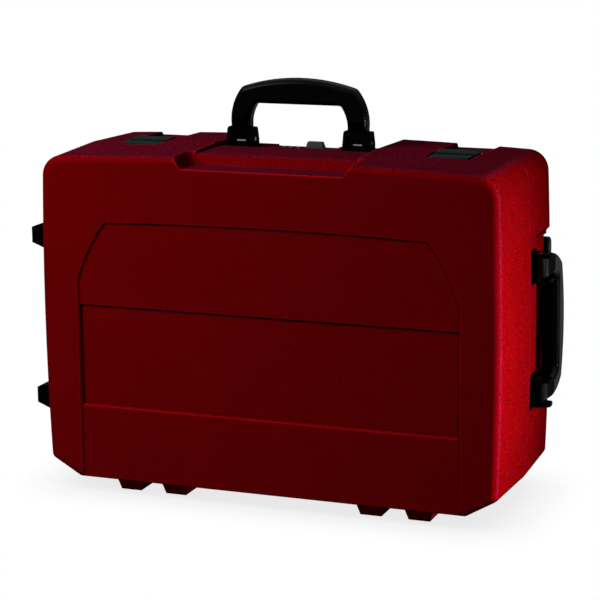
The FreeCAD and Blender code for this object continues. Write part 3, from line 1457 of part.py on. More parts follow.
def extension_bar(name, left, length):
    """Bar with a drive square on its right and a square hole in its left end."""
    axis = (S.foam_face, BASE + S.row_bars)
    right = left + length
    shaft = rod(f"{name}_shaft", "X", (left, right), axis, S.bar_radius)
    end = rod(f"{name}_end", "X", (left, left + S.bar_end_length), axis, S.bar_end_radius)
    square = box(
        f"{name}_square",
        (right - LAP, right + S.drive_length),
        around(axis[0], S.drive_large),
        around(axis[1], S.drive_large),
    )
    side = S.drive_large + S.drive_fit * 2
    hole = box(
        f"{name}_hole", (left - LAP, left + S.drive_length), around(axis[0], side), around(axis[1], side))
    node(cut(f"{name}_solid", fuse(f"{name}_body", shaft, end, square), hole), name)
    fit = S.tool_fit
    radius = S.bar_end_radius + fit
    return [rod(f"{name}_pocket", "X", (left - fit, right + S.drive_length + fit), axis, radius)]


def sliding_bar():
    """T bar with a drive block that slides along it."""
    z = BASE + S.row_sliding
    axis = (S.foam_face, z)
    left = S.bar_left
    right = left + S.sliding_length
    middle = (left + right) / 2
    shaft = rod("sliding_shaft", "X", (left, right), axis, S.sliding_radius)
    stop = S.sliding_stop_length
    stops = [
        rod("sliding_stop_left", "X", (left, left + stop), axis, S.sliding_stop_radius),
        rod("sliding_stop_right", "X", (right - stop, right), axis, S.sliding_stop_radius),
    ]
    node(fuse("sliding_bar_solid", shaft, *stops), "sliding_bar")
    half = S.sliding_head_height / 2
    cube = box(
        "sliding_cube",
        around(middle, S.sliding_head_size),
        (S.foam_face - half, S.foam_face + half),
        around(z, S.sliding_head_size),
    )
    tip = S.foam_face + half
    square = box(
        "sliding_square",
        around(middle, S.drive_large),
        (tip - LAP, tip + S.drive_length - LAP),
        around(z, S.drive_large),
    )
    reach = around(middle, S.sliding_head_size + LAP * 2)
    hole = rod("sliding_hole", "X", reach, axis, S.sliding_radius + S.pin_clearance)
    node(cut("sliding_head_solid", fuse("sliding_head_body", cube, square), hole), "sliding_head")
    fit = S.tool_fit
    run = S.sliding_head_size + (S.sliding_travel + fit) * 2
    return [
        rod("sliding_pocket", "X", (left - fit, right + fit), axis, S.sliding_stop_radius + fit),
        box(
            "sliding_channel",
            around(middle, run),
            (S.foam_face - LAP, S.foam_face + S.foam - LAP),
            around(z, S.sliding_head_size + fit * 2),
        ),
    ]


def plug_sockets():
    """Long sockets lying in the foam beside the ratchet."""
    axis = (S.foam_face, BASE + S.row_ratchet)
    made, pockets = [], []
    for i, flats in enumerate(PLUG_SOCKETS):
        left = S.plug_socket_left + S.plug_socket_step * i
        right = left + S.plug_socket_length
        skin = rod(f"plug_skin_{i}", "X", (left, right), axis, S.plug_socket_radius)
        mouth = (left + S.drive_length * 2, right + LAP)
        hexagon = prism(f"plug_hex_{i}", "X", mouth, axis, as_size(flats) / math.sqrt(3), HEXAGON)
        side = S.drive_large + S.drive_fit * 2
        seat = (left - LAP, left + S.drive_length)
        square = box(f"plug_drive_{i}", seat, around(axis[0], side), around(axis[1], side))
        made.append(cut(f"plug_{i}", skin, hexagon, square))
        fit = S.tool_fit
        reach = (left - fit, right + fit)
        pockets.append(rod(f"plug_pocket_{i}", "X", reach, axis, S.plug_socket_radius + fit))
    node(group("plug_set", made), "spark_plug_sockets")
    return pockets


def spinner():
    """Screwdriver handle with a small drive square."""
    axis = (S.foam_face, BASE + S.row_sliding)
    left = S.spinner_left
    grip_end = left + S.spinner_grip_length
    shaft_end = grip_end + S.spinner_shaft_length
    seat = grip_end - S.spinner_grip_radius
    handle = rod("spinner_handle", "X", (left, grip_end), axis, S.spinner_grip_radius)
    bore = rod("spinner_bore", "X", (seat, grip_end + LAP), axis, S.spinner_shaft_radius)
    node(cut("spinner_grip_solid", handle, bore), "spinner_grip")
    shaft = rod("spinner_rod", "X", (seat, shaft_end - S.drive_small), axis, S.spinner_shaft_radius)
    square = box(
        "spinner_square",
        (shaft_end - S.drive_small * 2, shaft_end),
        around(axis[0], S.drive_small),
        around(axis[1], S.drive_small),
    )
    node(fuse("spinner_shaft_solid", shaft, square), "spinner_shaft")
    fit = S.tool_fit
    return [
        rod("spinner_pocket", "X", (left - fit, grip_end + fit), axis, S.spinner_grip_radius + fit),
        rod("shaft_pocket", "X", (grip_end, shaft_end + fit), axis, S.spinner_shaft_radius + S.wall),
    ]


def tools():
    """All tools of the set and the foam that is cut to hold them."""
    pockets = ratchet()
    pockets += socket_row(
        "sockets_large", LARGE_SOCKETS, S.row_large, S.pitch_large, S.socket_tall, S.socket_sink,
        S.drive_large, S.socket_collar_large, S.socket_margin_large)
    pockets += socket_row(
        "sockets_medium", MID_SOCKETS, S.row_mid, S.pitch_mid, S.socket_mid, S.socket_sink,
        S.drive_large, S.socket_collar_large, S.socket_margin_large)
    pockets += socket_row(
        "sockets_small", SMALL_SOCKETS, S.row_small, S.pitch_small, S.socket_short, S.socket_sink_small,
        S.drive_small, S.socket_collar_small, S.socket_margin_small)
    pockets += extension_bar("extension_bar_long", S.bar_left, S.bar_long)
    pockets += extension_bar("extension_bar_short", S.bar_short_left, S.bar_short)
    pockets += sliding_bar()
    pockets += plug_sockets()
    pockets += spinner()
    half = S.board_width / 2
    sheet_foam = box(
        "tray_foam_sheet",
        (-half, half),
        (S.foam_face, S.foam_face + S.foam),
        around(BOARD_MIDDLE, S.board_height),
    )
    node(cut("tray_foam_solid", sheet_foam, *pockets), "tray_foam")


def check_and_write():
    """Stops on any failed object, then writes one file for each node."""
    doc.recompute()
    for thing in doc.Objects:
        if "Invalid" in thing.State or "Error" in thing.State:
            raise RuntimeError(f"{thing.Name} failed: {thing.State}")
    os.makedirs("parts", exist_ok=True)
    for thing in nodes:
        shape = thing.Shape
        if shape.isNull() or not shape.isValid() or not shape.Solids:
            raise RuntimeError(f"{thing.Label} has no valid solid")
    for thing in nodes:
        thing.Shape.exportStep(f"parts/{thing.Label}.step")
        print(thing.Label, len(thing.Shape.Solids), round(thing.Shape.Volume))


front_skin = front_shell()
rear_shell()
hinge_pins()
handles()
latches()
lock()
pull_handle()
wheels()
end_feet(front_skin)
linings()
tools()
check_and_write()
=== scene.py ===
"""Looks of the moulded tool case and its sockets: studio, finishes and pieces that the solids leave plain."""
import json
import math

import bmesh
import bpy
import numpy as np
from mathutils import Matrix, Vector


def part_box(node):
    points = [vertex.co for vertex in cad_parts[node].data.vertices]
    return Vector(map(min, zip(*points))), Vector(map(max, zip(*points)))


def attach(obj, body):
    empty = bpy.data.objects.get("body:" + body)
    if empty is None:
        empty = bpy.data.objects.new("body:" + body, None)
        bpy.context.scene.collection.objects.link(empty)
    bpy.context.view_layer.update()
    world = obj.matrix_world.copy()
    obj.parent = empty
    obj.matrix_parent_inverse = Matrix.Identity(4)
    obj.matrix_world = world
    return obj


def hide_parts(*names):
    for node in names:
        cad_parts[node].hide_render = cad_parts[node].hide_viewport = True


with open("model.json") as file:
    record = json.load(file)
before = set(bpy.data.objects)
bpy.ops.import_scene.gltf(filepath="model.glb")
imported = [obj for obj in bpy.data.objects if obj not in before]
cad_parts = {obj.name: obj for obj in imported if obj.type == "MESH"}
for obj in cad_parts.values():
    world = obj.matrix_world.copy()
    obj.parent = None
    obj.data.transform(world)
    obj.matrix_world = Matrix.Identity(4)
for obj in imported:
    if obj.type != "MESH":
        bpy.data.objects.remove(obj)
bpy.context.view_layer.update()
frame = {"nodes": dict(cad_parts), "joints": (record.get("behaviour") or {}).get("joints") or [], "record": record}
NODES = frame["nodes"]
MM = 0.001
X, Y, Z = 0, 1, 2
# Where the turning joints have their axes, in millimetres
PIVOTS = {joint["name"]: np.array(joint["pos_m"]) / MM
          for joint in frame["joints"] if joint["type"] == "hinge"}


def placed(name, data):
    """A new object with the given data, linked to the scene."""
    made = bpy.data.objects.new(name, data)
    bpy.context.scene.collection.objects.link(made)
    return made


# Colours and nodes

WHITE = (1.0, 1.0, 1.0, 1.0)
# Sockets of a colour mix: its share, its two colours and what comes out
SHARE, FIRST, SECOND, MIXED = 0, 6, 7, 2


def linear(code):
    """Turns an sRGB hex colour into linear red, green, blue and full alpha."""
    parts = [int(code[i:i + 2], 16) / 255 for i in (1, 3, 5)]
    return (*(c / 12.92 if c <= 0.04045 else ((c + 0.055) / 1.055) ** 2.4 for c in parts), 1.0)


def add(tree, kind, inputs=None, **settings):
    """Adds one node: settings are its properties, inputs its sockets, each a constant or a node's output."""
    made = tree.nodes.new(kind)
    for name, value in settings.items():
        setattr(made, name, value)
    for key, value in (inputs or {}).items():
        if isinstance(value, bpy.types.NodeSocket):
            tree.links.new(value, made.inputs[key])
        else:
            made.inputs[key].default_value = value
    return made


def blank(name):
    """An empty material, with its node tree and an Object coordinate to start from."""
    material = bpy.data.materials.new(name)
    material.use_nodes = True
    tree = material.node_tree
    tree.nodes.clear()
    return material, tree, add(tree, "ShaderNodeTexCoord").outputs["Object"]


def surface(tree, shader):
    """Ends a material: the shader goes to its output."""
    add(tree, "ShaderNodeOutputMaterial", {"Surface": shader.outputs[0]})


# Finishes, with all sizes in millimetres

EDGE_SAMPLES = 4
OCCLUSION_SAMPLES = 6
# Moulded plastic: how much finer than the pebbles the fuzz is, and how far roughness swings in patches
FUZZ_FINER = 2.4
ROUGH_SWING = 0.05
# Metal: how much longer than wide a drawn line is, how deep, and how far painted shade creeps out of a joint
LINE_STRETCH = 40
LINE_DEPTH = 0.02
JOINT_SHADE_REACH = 3.0


def moulded(name, dark, pale, rough, grain, depth, edge, gloss, patch=60.0):
    """Moulded plastic: two close shades in patches, a grain of pebbles, edges rounded by the mould."""
    material, tree, place = blank(name)
    patches = add(tree, "ShaderNodeTexNoise", {"Vector": place, "Scale": 1 / (patch * MM), "Detail": 4.0})
    colour = add(tree, "ShaderNodeMix",
                 {SHARE: patches.outputs["Fac"], FIRST: linear(dark), SECOND: linear(pale)}, data_type="RGBA")
    pebbles = add(tree, "ShaderNodeTexVoronoi", {"Vector": place, "Scale": 1 / (grain * MM)},
                  feature="SMOOTH_F1")
    fuzz = add(tree, "ShaderNodeTexNoise",
               {"Vector": place, "Scale": FUZZ_FINER / (grain * MM), "Detail": 2.0})
    height = add(tree, "ShaderNodeMath", {0: pebbles.outputs["Distance"], 1: fuzz.outputs["Fac"]},
                 operation="ADD")
    rounded = add(tree, "ShaderNodeBevel", {"Radius": edge * MM}, samples=EDGE_SAMPLES)
    bump = add(tree, "ShaderNodeBump",
               {"Strength": 1.0, "Distance": depth * MM, "Height": height.outputs[0],
                "Normal": rounded.outputs[0]})
    spread = add(tree, "ShaderNodeMapRange",
                 {"Value": patches.outputs["Fac"], "From Min": 0.3, "From Max": 0.7,
                  "To Min": rough - ROUGH_SWING, "To Max": rough + ROUGH_SWING})
    shader = add(tree, "ShaderNodeBsdfPrincipled",
                 {"Base Color": colour.outputs[MIXED], "Roughness": spread.outputs[0],
                  "Normal": bump.outputs[0], "Specular IOR Level": gloss})
    surface(tree, shader)
    return material


def metal(name, shade, pale, rough, run, line, edge):
    """Bare or plated metal: fine lines drawn along one axis, edges dressed round, painted shade in the joints."""
    material, tree, place = blank(name)
    stretch = [1 / (line * MM)] * 3
    stretch[run] = 1 / (line * MM * LINE_STRETCH)
    drawn = add(tree, "ShaderNodeMapping", {"Vector": place, "Scale": stretch})
    lines = add(tree, "ShaderNodeTexNoise", {"Vector": drawn.outputs[0], "Scale": 1.0, "Detail": 3.0})
    colour = add(tree, "ShaderNodeMix",
                 {SHARE: lines.outputs["Fac"], FIRST: linear(shade), SECOND: linear(pale)}, data_type="RGBA")
    spread = add(tree, "ShaderNodeMapRange",
                 {"Value": lines.outputs["Fac"], "From Min": 0.3, "From Max": 0.7,
                  "To Min": rough * 0.75, "To Max": rough * 1.25})
    rounded = add(tree, "ShaderNodeBevel", {"Radius": edge * MM}, samples=EDGE_SAMPLES)
    bump = add(tree, "ShaderNodeBump",
               {"Strength": 0.3, "Distance": LINE_DEPTH * MM, "Height": lines.outputs["Fac"],
                "Normal": rounded.outputs[0]})
    # Painted shade: the metal is darkened in joints and hollows.
    hollow = add(tree, "ShaderNodeAmbientOcclusion", {"Distance": JOINT_SHADE_REACH * MM}, samples=OCCLUSION_SAMPLES)
    joint_shade = add(tree, "ShaderNodeMapRange",
               {"Value": hollow.outputs["AO"], "From Min": 0.40, "From Max": 0.95,
                "To Min": 0.12, "To Max": 1.0})
    skin = add(tree, "ShaderNodeVectorMath", {0: colour.outputs[MIXED], "Scale": joint_shade.outputs[0]},
               operation="SCALE")
    shader = add(tree, "ShaderNodeBsdfPrincipled",
                 {"Base Color": skin.outputs[0], "Metallic": 1.0, "Roughness": spread.outputs[0],
                  "Normal": bump.outputs[0]})
    surface(tree, shader)
    return material


# Shells: the soft patches of shade, the pebbles, the fuzz on them, the grain's depth and the moulded edge
SHADE_PATCH, PEBBLE, FUZZ, GRAIN_DEPTH, MOULDED_EDGE = 60.0, 2.4, 1.4, 0.25, 1.8
# How far painted shade creeps out of a corner, and how far in from an edge the painted highlight reaches
CORNER_SHADE_REACH, HIGHLIGHT_REACH = 4.0, 2.6
# How far out from the middle the painted highlight on the ends begins, and where it has begun in full
ENDS_BEGIN, ENDS_FULL = 270.0, 280.0
# The lid's rim: its middle in Y, how far from there its painted highlight is full, and where that highlight ends
RIM_MIDDLE, RIM_FULL, RIM_END = -1.6, 0.7, 1.7
# How far from the rim's middle the painted edge highlight begins to reach, and from where it reaches in full
PARTING_NEAR, PARTING_FAR = 3.0, 6.0
# Edges turned this way, up and to the front, get the strongest painted highlight
HIGHLIGHT_WAY = (0.20, -0.65, 0.73)


def polyethylene(name, dark, pale, top_sheen, end_and_rim_highlight):
    """Blow-moulded polyethylene: etched grain, painted shade in corners and below, pale painted highlights on
    edges, a violet painted sheen on top.
    """
    material, tree, place = blank(name)
    patches = add(tree, "ShaderNodeTexNoise",
                  {"Vector": place, "Scale": 1 / (SHADE_PATCH * MM), "Detail": 4.0})
    colour = add(tree, "ShaderNodeMix",
                 {SHARE: patches.outputs["Fac"], FIRST: linear(dark), SECOND: linear(pale)}, data_type="RGBA")
    pebbles = add(tree, "ShaderNodeTexVoronoi", {"Vector": place, "Scale": 1 / (PEBBLE * MM)},
                  feature="SMOOTH_F1")
    fuzz = add(tree, "ShaderNodeTexNoise", {"Vector": place, "Scale": 1 / (FUZZ * MM), "Detail": 2.0})
    height = add(tree, "ShaderNodeMath", {0: pebbles.outputs["Distance"], 1: fuzz.outputs["Fac"]},
                 operation="ADD")
    rounded = add(tree, "ShaderNodeBevel", {"Radius": MOULDED_EDGE * MM}, samples=EDGE_SAMPLES)
    bump = add(tree, "ShaderNodeBump",
               {"Strength": 1.0, "Distance": GRAIN_DEPTH * MM, "Height": height.outputs[0],
                "Normal": rounded.outputs[0]})

    # Which way the shell faces, in its own axes, so that its painted highlights, sheen and shade go with it when
    # it moves.
    facing = add(tree, "ShaderNodeVectorTransform", {0: rounded.outputs[0]}, vector_type="NORMAL",
                 convert_from="WORLD", convert_to="OBJECT")
    turned = add(tree, "ShaderNodeSeparateXYZ", {0: facing.outputs[0]})
    endways = add(tree, "ShaderNodeMath", {0: turned.outputs["X"]}, operation="ABSOLUTE")
    square = add(tree, "ShaderNodeMath", {0: turned.outputs["Y"]}, operation="ABSOLUTE")
    where = add(tree, "ShaderNodeSeparateXYZ", {0: place})

    # Painted shading of the grain: it is painted darker and lighter more strongly on the ends and the top, where
    # light rakes over them.
    grain = add(tree, "ShaderNodeMapRange",
                {"Value": fuzz.outputs["Fac"], "From Min": 0.32, "From Max": 0.68,
                 "To Min": -1.0, "To Max": 1.0})
    raked = add(tree, "ShaderNodeMapRange",
                {"Value": square.outputs[0], "From Min": 0.4, "From Max": 0.95,
                 "To Min": 0.85, "To Max": 0.18})
    pit_shading = add(tree, "ShaderNodeMath", {0: grain.outputs[0], 1: raked.outputs[0], 2: 1.0},
               operation="MULTIPLY_ADD")

    # Painted sheen: what faces up while the case stands closed is tinted violet, as a reflection of the sky.
    pebbled = add(tree, "ShaderNodeVectorTransform", {0: bump.outputs[0]}, vector_type="NORMAL",
                  convert_from="WORLD", convert_to="OBJECT")
    rise = add(tree, "ShaderNodeSeparateXYZ", {0: pebbled.outputs[0]})
    top_sheen_mask = add(tree, "ShaderNodeMapRange", {"Value": rise.outputs["Z"], "From Min": 0.80, "From Max": 1.0})
    sheened = add(tree, "ShaderNodeMix",
                 {SHARE: top_sheen_mask.outputs[0], FIRST: colour.outputs[MIXED], SECOND: linear(top_sheen)},
                 data_type="RGBA")

    # Painted highlight: the upright corners beside both ends are painted pale, and so is the lid's rim where it
    # meets the base.
    out = add(tree, "ShaderNodeMath", {0: where.outputs["X"]}, operation="ABSOLUTE")
    outermost = add(tree, "ShaderNodeMapRange",
                    {"Value": out.outputs[0], "From Min": ENDS_BEGIN * MM, "From Max": ENDS_FULL * MM})
    round_corner = add(tree, "ShaderNodeMapRange",
                       {"Value": endways.outputs[0], "From Min": 0.68, "From Max": 0.92})
    past_corner = add(tree, "ShaderNodeMapRange",
                      {"Value": square.outputs[0], "From Min": 0.08, "From Max": 0.34})
    corner = add(tree, "ShaderNodeMath", {0: round_corner.outputs[0], 1: past_corner.outputs[0]},
                 operation="MULTIPLY")
    from_rim = add(tree, "ShaderNodeMath", {0: where.outputs["Y"], 1: RIM_MIDDLE * MM}, operation="SUBTRACT")
    rim_away = add(tree, "ShaderNodeMath", {0: from_rim.outputs[0]}, operation="ABSOLUTE")
    rim = add(tree, "ShaderNodeMapRange",
              {"Value": rim_away.outputs[0], "From Min": RIM_END * MM, "From Max": RIM_FULL * MM,
               "To Max": 0.4})
    highlight_places = add(tree, "ShaderNodeMath", {0: corner.outputs[0], 1: rim.outputs[0]}, operation="MAXIMUM")
    end_and_rim_mask = add(tree, "ShaderNodeMath", {0: highlight_places.outputs[0], 1: outermost.outputs[0]},
                  operation="MULTIPLY")
    highlighted = add(tree, "ShaderNodeMix",
               {SHARE: end_and_rim_mask.outputs[0], FIRST: sheened.outputs[MIXED], SECOND: linear(end_and_rim_highlight)},
               data_type="RGBA")

    # Painted shade: hollow corners and what faces down are darkened.
    underside_shade = add(tree, "ShaderNodeMapRange",
                {"Value": turned.outputs["Z"], "From Min": -0.45, "From Max": -0.28,
                 "To Min": 0.15, "To Max": 1.0})
    hollow = add(tree, "ShaderNodeAmbientOcclusion", {"Distance": CORNER_SHADE_REACH * MM}, samples=OCCLUSION_SAMPLES)
    corner_shade = add(tree, "ShaderNodeMapRange",
               {"Value": hollow.outputs["AO"], "From Min": 0.64, "From Max": 0.94,
                "To Min": 0.12, "To Max": 1.0})
    corner_shaded = add(tree, "ShaderNodeMath", {0: pit_shading.outputs[0], 1: corner_shade.outputs[0]}, operation="MULTIPLY")
    shaded = add(tree, "ShaderNodeMath", {0: corner_shaded.outputs[0], 1: underside_shade.outputs[0]}, operation="MULTIPLY")

    # Painted highlight: the edges are painted pale, most where they face up and to the front, but not in the
    # parting line.
    ridge = add(tree, "ShaderNodeAmbientOcclusion", {"Distance": HIGHLIGHT_REACH * MM}, samples=OCCLUSION_SAMPLES,
                inside=True, only_local=True)
    ridge_highlight = add(tree, "ShaderNodeMapRange",
                 {"Value": ridge.outputs["AO"], "From Min": 0.96, "From Max": 0.76,
                  "To Min": 0.20, "To Max": 1.5})
    upward = add(tree, "ShaderNodeVectorMath", {0: facing.outputs[0], 1: HIGHLIGHT_WAY},
                 operation="DOT_PRODUCT")
    highlight_facing = add(tree, "ShaderNodeMapRange",
                  {"Value": upward.outputs["Value"], "From Min": 0.50, "From Max": 0.92, "To Max": 3.2})
    off_parting = add(tree, "ShaderNodeMapRange",
                    {"Value": rim_away.outputs[0], "From Min": PARTING_NEAR * MM,
                     "From Max": PARTING_FAR * MM, "To Min": 0.25, "To Max": 1.0})
    edge_highlight = add(tree, "ShaderNodeMath", {0: ridge_highlight.outputs[0], 1: off_parting.outputs[0]}, operation="MULTIPLY")
    highlight_gain = add(tree, "ShaderNodeMath", {0: edge_highlight.outputs[0], 1: highlight_facing.outputs[0], 2: 1.0},
               operation="MULTIPLY_ADD")

    tone = add(tree, "ShaderNodeMath", {0: shaded.outputs[0], 1: highlight_gain.outputs[0]}, operation="MULTIPLY")
    skin = add(tree, "ShaderNodeVectorMath", {0: highlighted.outputs[MIXED], "Scale": tone.outputs[0]},
               operation="SCALE")
    shader = add(tree, "ShaderNodeBsdfPrincipled",
                 {"Base Color": skin.outputs[0], "Roughness": 0.55, "Normal": bump.outputs[0],
                  "Specular IOR Level": 0.0})
    surface(tree, shader)
    return material


# The grain of the plastics and the lines on the metals are finer in life, and are drawn coarse enough to show.

# Blow-moulded polyethylene: deep red, dull, with an etched grain; a violet painted sheen on top and a pale painted
# highlight on the end corners and the lid's rim.
SHELL = polyethylene("polyethylene_red", dark="#770206", pale="#830308", top_sheen="#7A1229", end_and_rim_highlight="#910B27")
# Glass-filled nylon: near black and smooth, with faint soft reflections on its curves.
NYLON = moulded("nylon_black", "#010102", "#020304",
                rough=0.22, grain=1.4, depth=0.03, edge=1.2, gloss=0.05)
# The same nylon from a spark-eroded mould: matt black.
NYLON_MATT = moulded("nylon_black_matt", "#010101", "#020202",
                     rough=0.45, grain=1.2, depth=0.06, edge=0.8, gloss=0.01)
# Dark grey nylon of buttons and wheel hubs: half matt.
NYLON_GREY = moulded("nylon_grey", "#232527", "#2B2D30",
                     rough=0.42, grain=1.2, depth=0.06, edge=0.6, gloss=0.4)
# Grey-green acetal of the latch levers: dull, and a little uneven in shade.
LATCH = moulded("acetal_grey", "#1A2827", "#243433",
                rough=0.50, grain=1.6, depth=0.03, edge=0.6, gloss=0.01)
# Solid rubber: dark, dull, slightly dusty.
RUBBER = moulded("rubber_black", "#111112", "#1A1A1B",
                 rough=0.72, grain=1.0, depth=0.08, edge=0.8, gloss=0.3, patch=14.0)
# Sheet plastic of the two boards, with a leather-like emboss.
BOARD = moulded("sheet_black", "#131415", "#191A1B",
                rough=0.60, grain=1.8, depth=0.10, edge=0.4, gloss=0.3)
# Closed-cell foam: matt, a faded black, with small open cells on the cut faces.
FOAM = moulded("foam_black", "#202024", "#2C2C31",
               rough=0.92, grain=1.3, depth=0.35, edge=1.0, gloss=0.1, patch=8.0)
# Soft moulded elastomer of the ratchet's and the spinner's grips: red like the case, with a low sheen.
GRIP = moulded("elastomer_red", "#7C0A10", "#8C0E15",
               rough=0.45, grain=1.0, depth=0.05, edge=0.6, gloss=0.4)
# White enamel rolled into the dials' numbers: smooth, off-white.
ENAMEL = moulded("enamel_white", "#D9D9D4", "#E4E4E0",
                 rough=0.40, grain=0.5, depth=0.01, edge=0.1, gloss=0.4)
# Pale sleeves on the carry handle's pins, a painted glint of the steel pins: near white, with an even sheen.
PIN_GLINT = moulded("pale_pin_glint", "#D8DBDD", "#E6E8EA",
               rough=0.35, grain=0.6, depth=0.01, edge=0.1, gloss=0.6)
# Drawn steel of pins and screws: pale grey, lined along its length.
STEEL = metal("steel_drawn", "#A9ABAE", "#C4C6C8", rough=0.30, run=X, line=0.4, edge=0.3)
# Anodised aluminium of the tubes: silvery and satin, with lines from drawing.
TUBE = metal("aluminium_anodised", "#B4B7BA", "#CDD0D3", rough=0.34, run=X, line=0.5, edge=0.3)
# Bright chrome of the lock's slide, painted a darker grey that stands in for the dark things it reflects.
CHROME = metal("chrome_bright", "#5E6064", "#787A7E", rough=0.08, run=X, line=1.0, edge=0.4)
# Satin chrome of the tools: bright, with a soft blur in its reflections.
SATIN = metal("chrome_satin", "#B9BBBE", "#CFD1D3", rough=0.24, run=Y, line=0.5, edge=0.4)
# Blackened brass of the lock's dials: nearly black, with a metal's sheen.
DIAL = metal("brass_blackened", "#1C1A18", "#262320", rough=0.34, run=X, line=0.3, edge=0.3)

SLOT_FINISH = {
    "shell_red": SHELL, "handle_black": NYLON, "button_grey": NYLON_GREY, "latch_grey": LATCH,
    "pin_steel": STEEL, "tube_aluminium": TUBE, "dial_metal": DIAL, "lock_chrome": CHROME,
    "wheel_rubber": RUBBER, "board_black": BOARD, "foam_black": FOAM, "tool_chrome": SATIN, "grip_red": GRIP,
}
MATT_NODES = ("bracket", "cradle", "end_foot_lower", "end_foot_upper", "lock_housing", "collars")

for part in frame["record"]["subparts"]:
    thing = NODES[part["node"]]
    matt = any(word in part["node"] for word in MATT_NODES)
    thing.data.materials.clear()
    thing.data.materials.append(NYLON_MATT if matt else SLOT_FINISH[part["material_slot"]])


# Pieces, with all sizes in millimetres

# Points nearer than this are merged, and edges that turn by more degrees than this stay sharp
SAME_POINT = 0.002
SHARP_ANGLE = 38


def grid_faces(rows, columns, round_rows=False, round_columns=False):
    """Four-cornered faces of a grid of points numbered row by row, joined round where a way is closed."""
    row, column = np.meshgrid(np.arange(rows if round_rows else rows - 1),
                              np.arange(columns if round_columns else columns - 1), indexing="ij")
    below, beside = (row + 1) % rows, (column + 1) % columns
    corners = (row * columns + column, row * columns + beside,
               below * columns + beside, below * columns + column)
    return np.stack(corners, axis=-1).reshape(-1, 4)


def piece(name, points, faces, finish, body):
    """A mesh of points in metres: doubled points merged, faces turned outwards, soft but for sharp edges."""
    mesh = bpy.data.meshes.new(name)
    mesh.from_pydata(points.tolist(), [], faces.tolist())
    work = bmesh.new()
    work.from_mesh(mesh)
    bmesh.ops.remove_doubles(work, verts=work.verts, dist=SAME_POINT * MM)
    bmesh.ops.recalc_face_normals(work, faces=work.faces)
    work.to_mesh(mesh)
    work.free()
    mesh.shade_smooth()
    mesh.set_sharp_from_angle(angle=math.radians(SHARP_ANGLE))
    mesh.materials.append(finish)
    made = placed(name, mesh)
    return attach(made, body)


# Waved foam of the lid: rows and columns of points, and its waves as shares of the full height
PAD_ROWS, PAD_COLUMNS = 180, 120
WAVE_MEAN, WAVE_SWING = 0.6, 0.4


def waved_pad(node, pitch, corner, rim):
    """Convoluted foam: height = full * (mean + swing cos(x turn) cos(z turn)), rounded to 0 along its rim."""
    low, high = (np.array(end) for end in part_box(node))
    middle, half = (low + high) / 2, (high - low) / 2
    u, v = np.meshgrid(np.linspace(-1, 1, PAD_ROWS), np.linspace(-1, 1, PAD_COLUMNS), indexing="ij")
    past = np.clip(np.abs(v) * half[Z] - half[Z] + corner, 0, corner)
    reach = half[X] - corner + np.sqrt(corner ** 2 - past ** 2)
    x, z = middle[X] + u * reach, middle[Z] + v * half[Z]
    inward = np.clip(np.minimum((1 - np.abs(u)) * reach, (1 - np.abs(v)) * half[Z]) / rim, 0, 1)
    waves = np.cos(2 * np.pi * x / pitch) * np.cos(2 * np.pi * (z - middle[Z]) / pitch)
    height = 2 * half[Y] * (WAVE_MEAN + WAVE_SWING * waves) * np.sqrt(inward * (2 - inward))
    front = np.stack([x, low[Y] + height, z], axis=-1).reshape(-1, 3)
    back = np.stack([x, np.full_like(x, low[Y]), z], axis=-1).reshape(-1, 3)
    faces = grid_faces(PAD_ROWS, PAD_COLUMNS)
    return np.vstack([front, back]), np.vstack([faces, faces[:, ::-1] + len(front)])


lid_pad = piece("lid_pad_waved", *waved_pad("lid_foam", pitch=30 * MM, corner=14 * MM, rim=7 * MM),
                FOAM, "lid")
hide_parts("lid_foam")

# Cut foam of the tray: the solid's own pockets, with every cut edge a little rolled.
cut_mesh = NODES["tray_foam"].data.copy()
work = bmesh.new()
work.from_mesh(cut_mesh)
bmesh.ops.remove_doubles(work, verts=work.verts, dist=0.01 * MM)
bmesh.ops.dissolve_limit(work, angle_limit=math.radians(1), verts=work.verts, edges=work.edges)
work.to_mesh(cut_mesh)
work.free()
tray_pad = placed("tray_pad_cut", cut_mesh)
rolled = tray_pad.modifiers.new("rolled_edges", "BEVEL")
rolled.width = 1.2 * MM
rolled.segments = 3
rolled.limit_method = "ANGLE"
rolled.angle_limit = math.radians(50)
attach(tray_pad, "base")
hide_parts("tray_foam")


def spun(profile, centre, axis, sides, relief):
    """A closed profile of (radius, place along the axis), turned about the axis, less a relief."""
    turn = np.linspace(0, 2 * np.pi, sides, endpoint=False)
    radius, along = (np.repeat(profile[:, [i]], sides, axis=1) for i in (0, 1))
    radius = radius - relief(turn[None, :], along, radius)
    points = np.empty(radius.shape + (3,))
    first, second = (axis + 1) % 3, (axis + 2) % 3
    points[..., axis] = along + centre[axis]
    points[..., first] = radius * np.cos(turn) + centre[first]
    points[..., second] = radius * np.sin(turn) + centre[second]
    return points.reshape(-1, 3) * MM, grid_faces(len(profile), sides, True, True)


# Solid tyres: a ring sunk in each side wall, a rounded shoulder, and a tread of slanted blocks on both sides
# of a middle groove.
TYRE, BORE, HALF_WIDTH, SHOULDER = 30.0, 22.0, 12.0, 4.0
RING_START, RING_DEEP, RING_RISE, RING_END, RING_DEPTH = 23.4, 23.8, 24.6, 25.0, 0.7
TREAD_DEPTH, TREAD_START, TREAD_FADE, TREAD_ROWS = 1.5, 27.5, 1.5, 23
BLOCKS, SLANT, SLOT_SHARE, SLOT_SLOPE = 26, 11.0, 0.26, 0.06
GROOVE_EDGE, GROOVE_SLOPE = 1.6, 0.5
TYRE_SIDES = 312
quarter = np.linspace(0, np.pi / 2, 6)
flank = np.stack([TYRE - SHOULDER + SHOULDER * np.sin(quarter),
                  HALF_WIDTH - SHOULDER * (1 - np.cos(quarter))], axis=1)
across = np.linspace(HALF_WIDTH - SHOULDER, SHOULDER - HALF_WIDTH, TREAD_ROWS + 2)[1:-1]
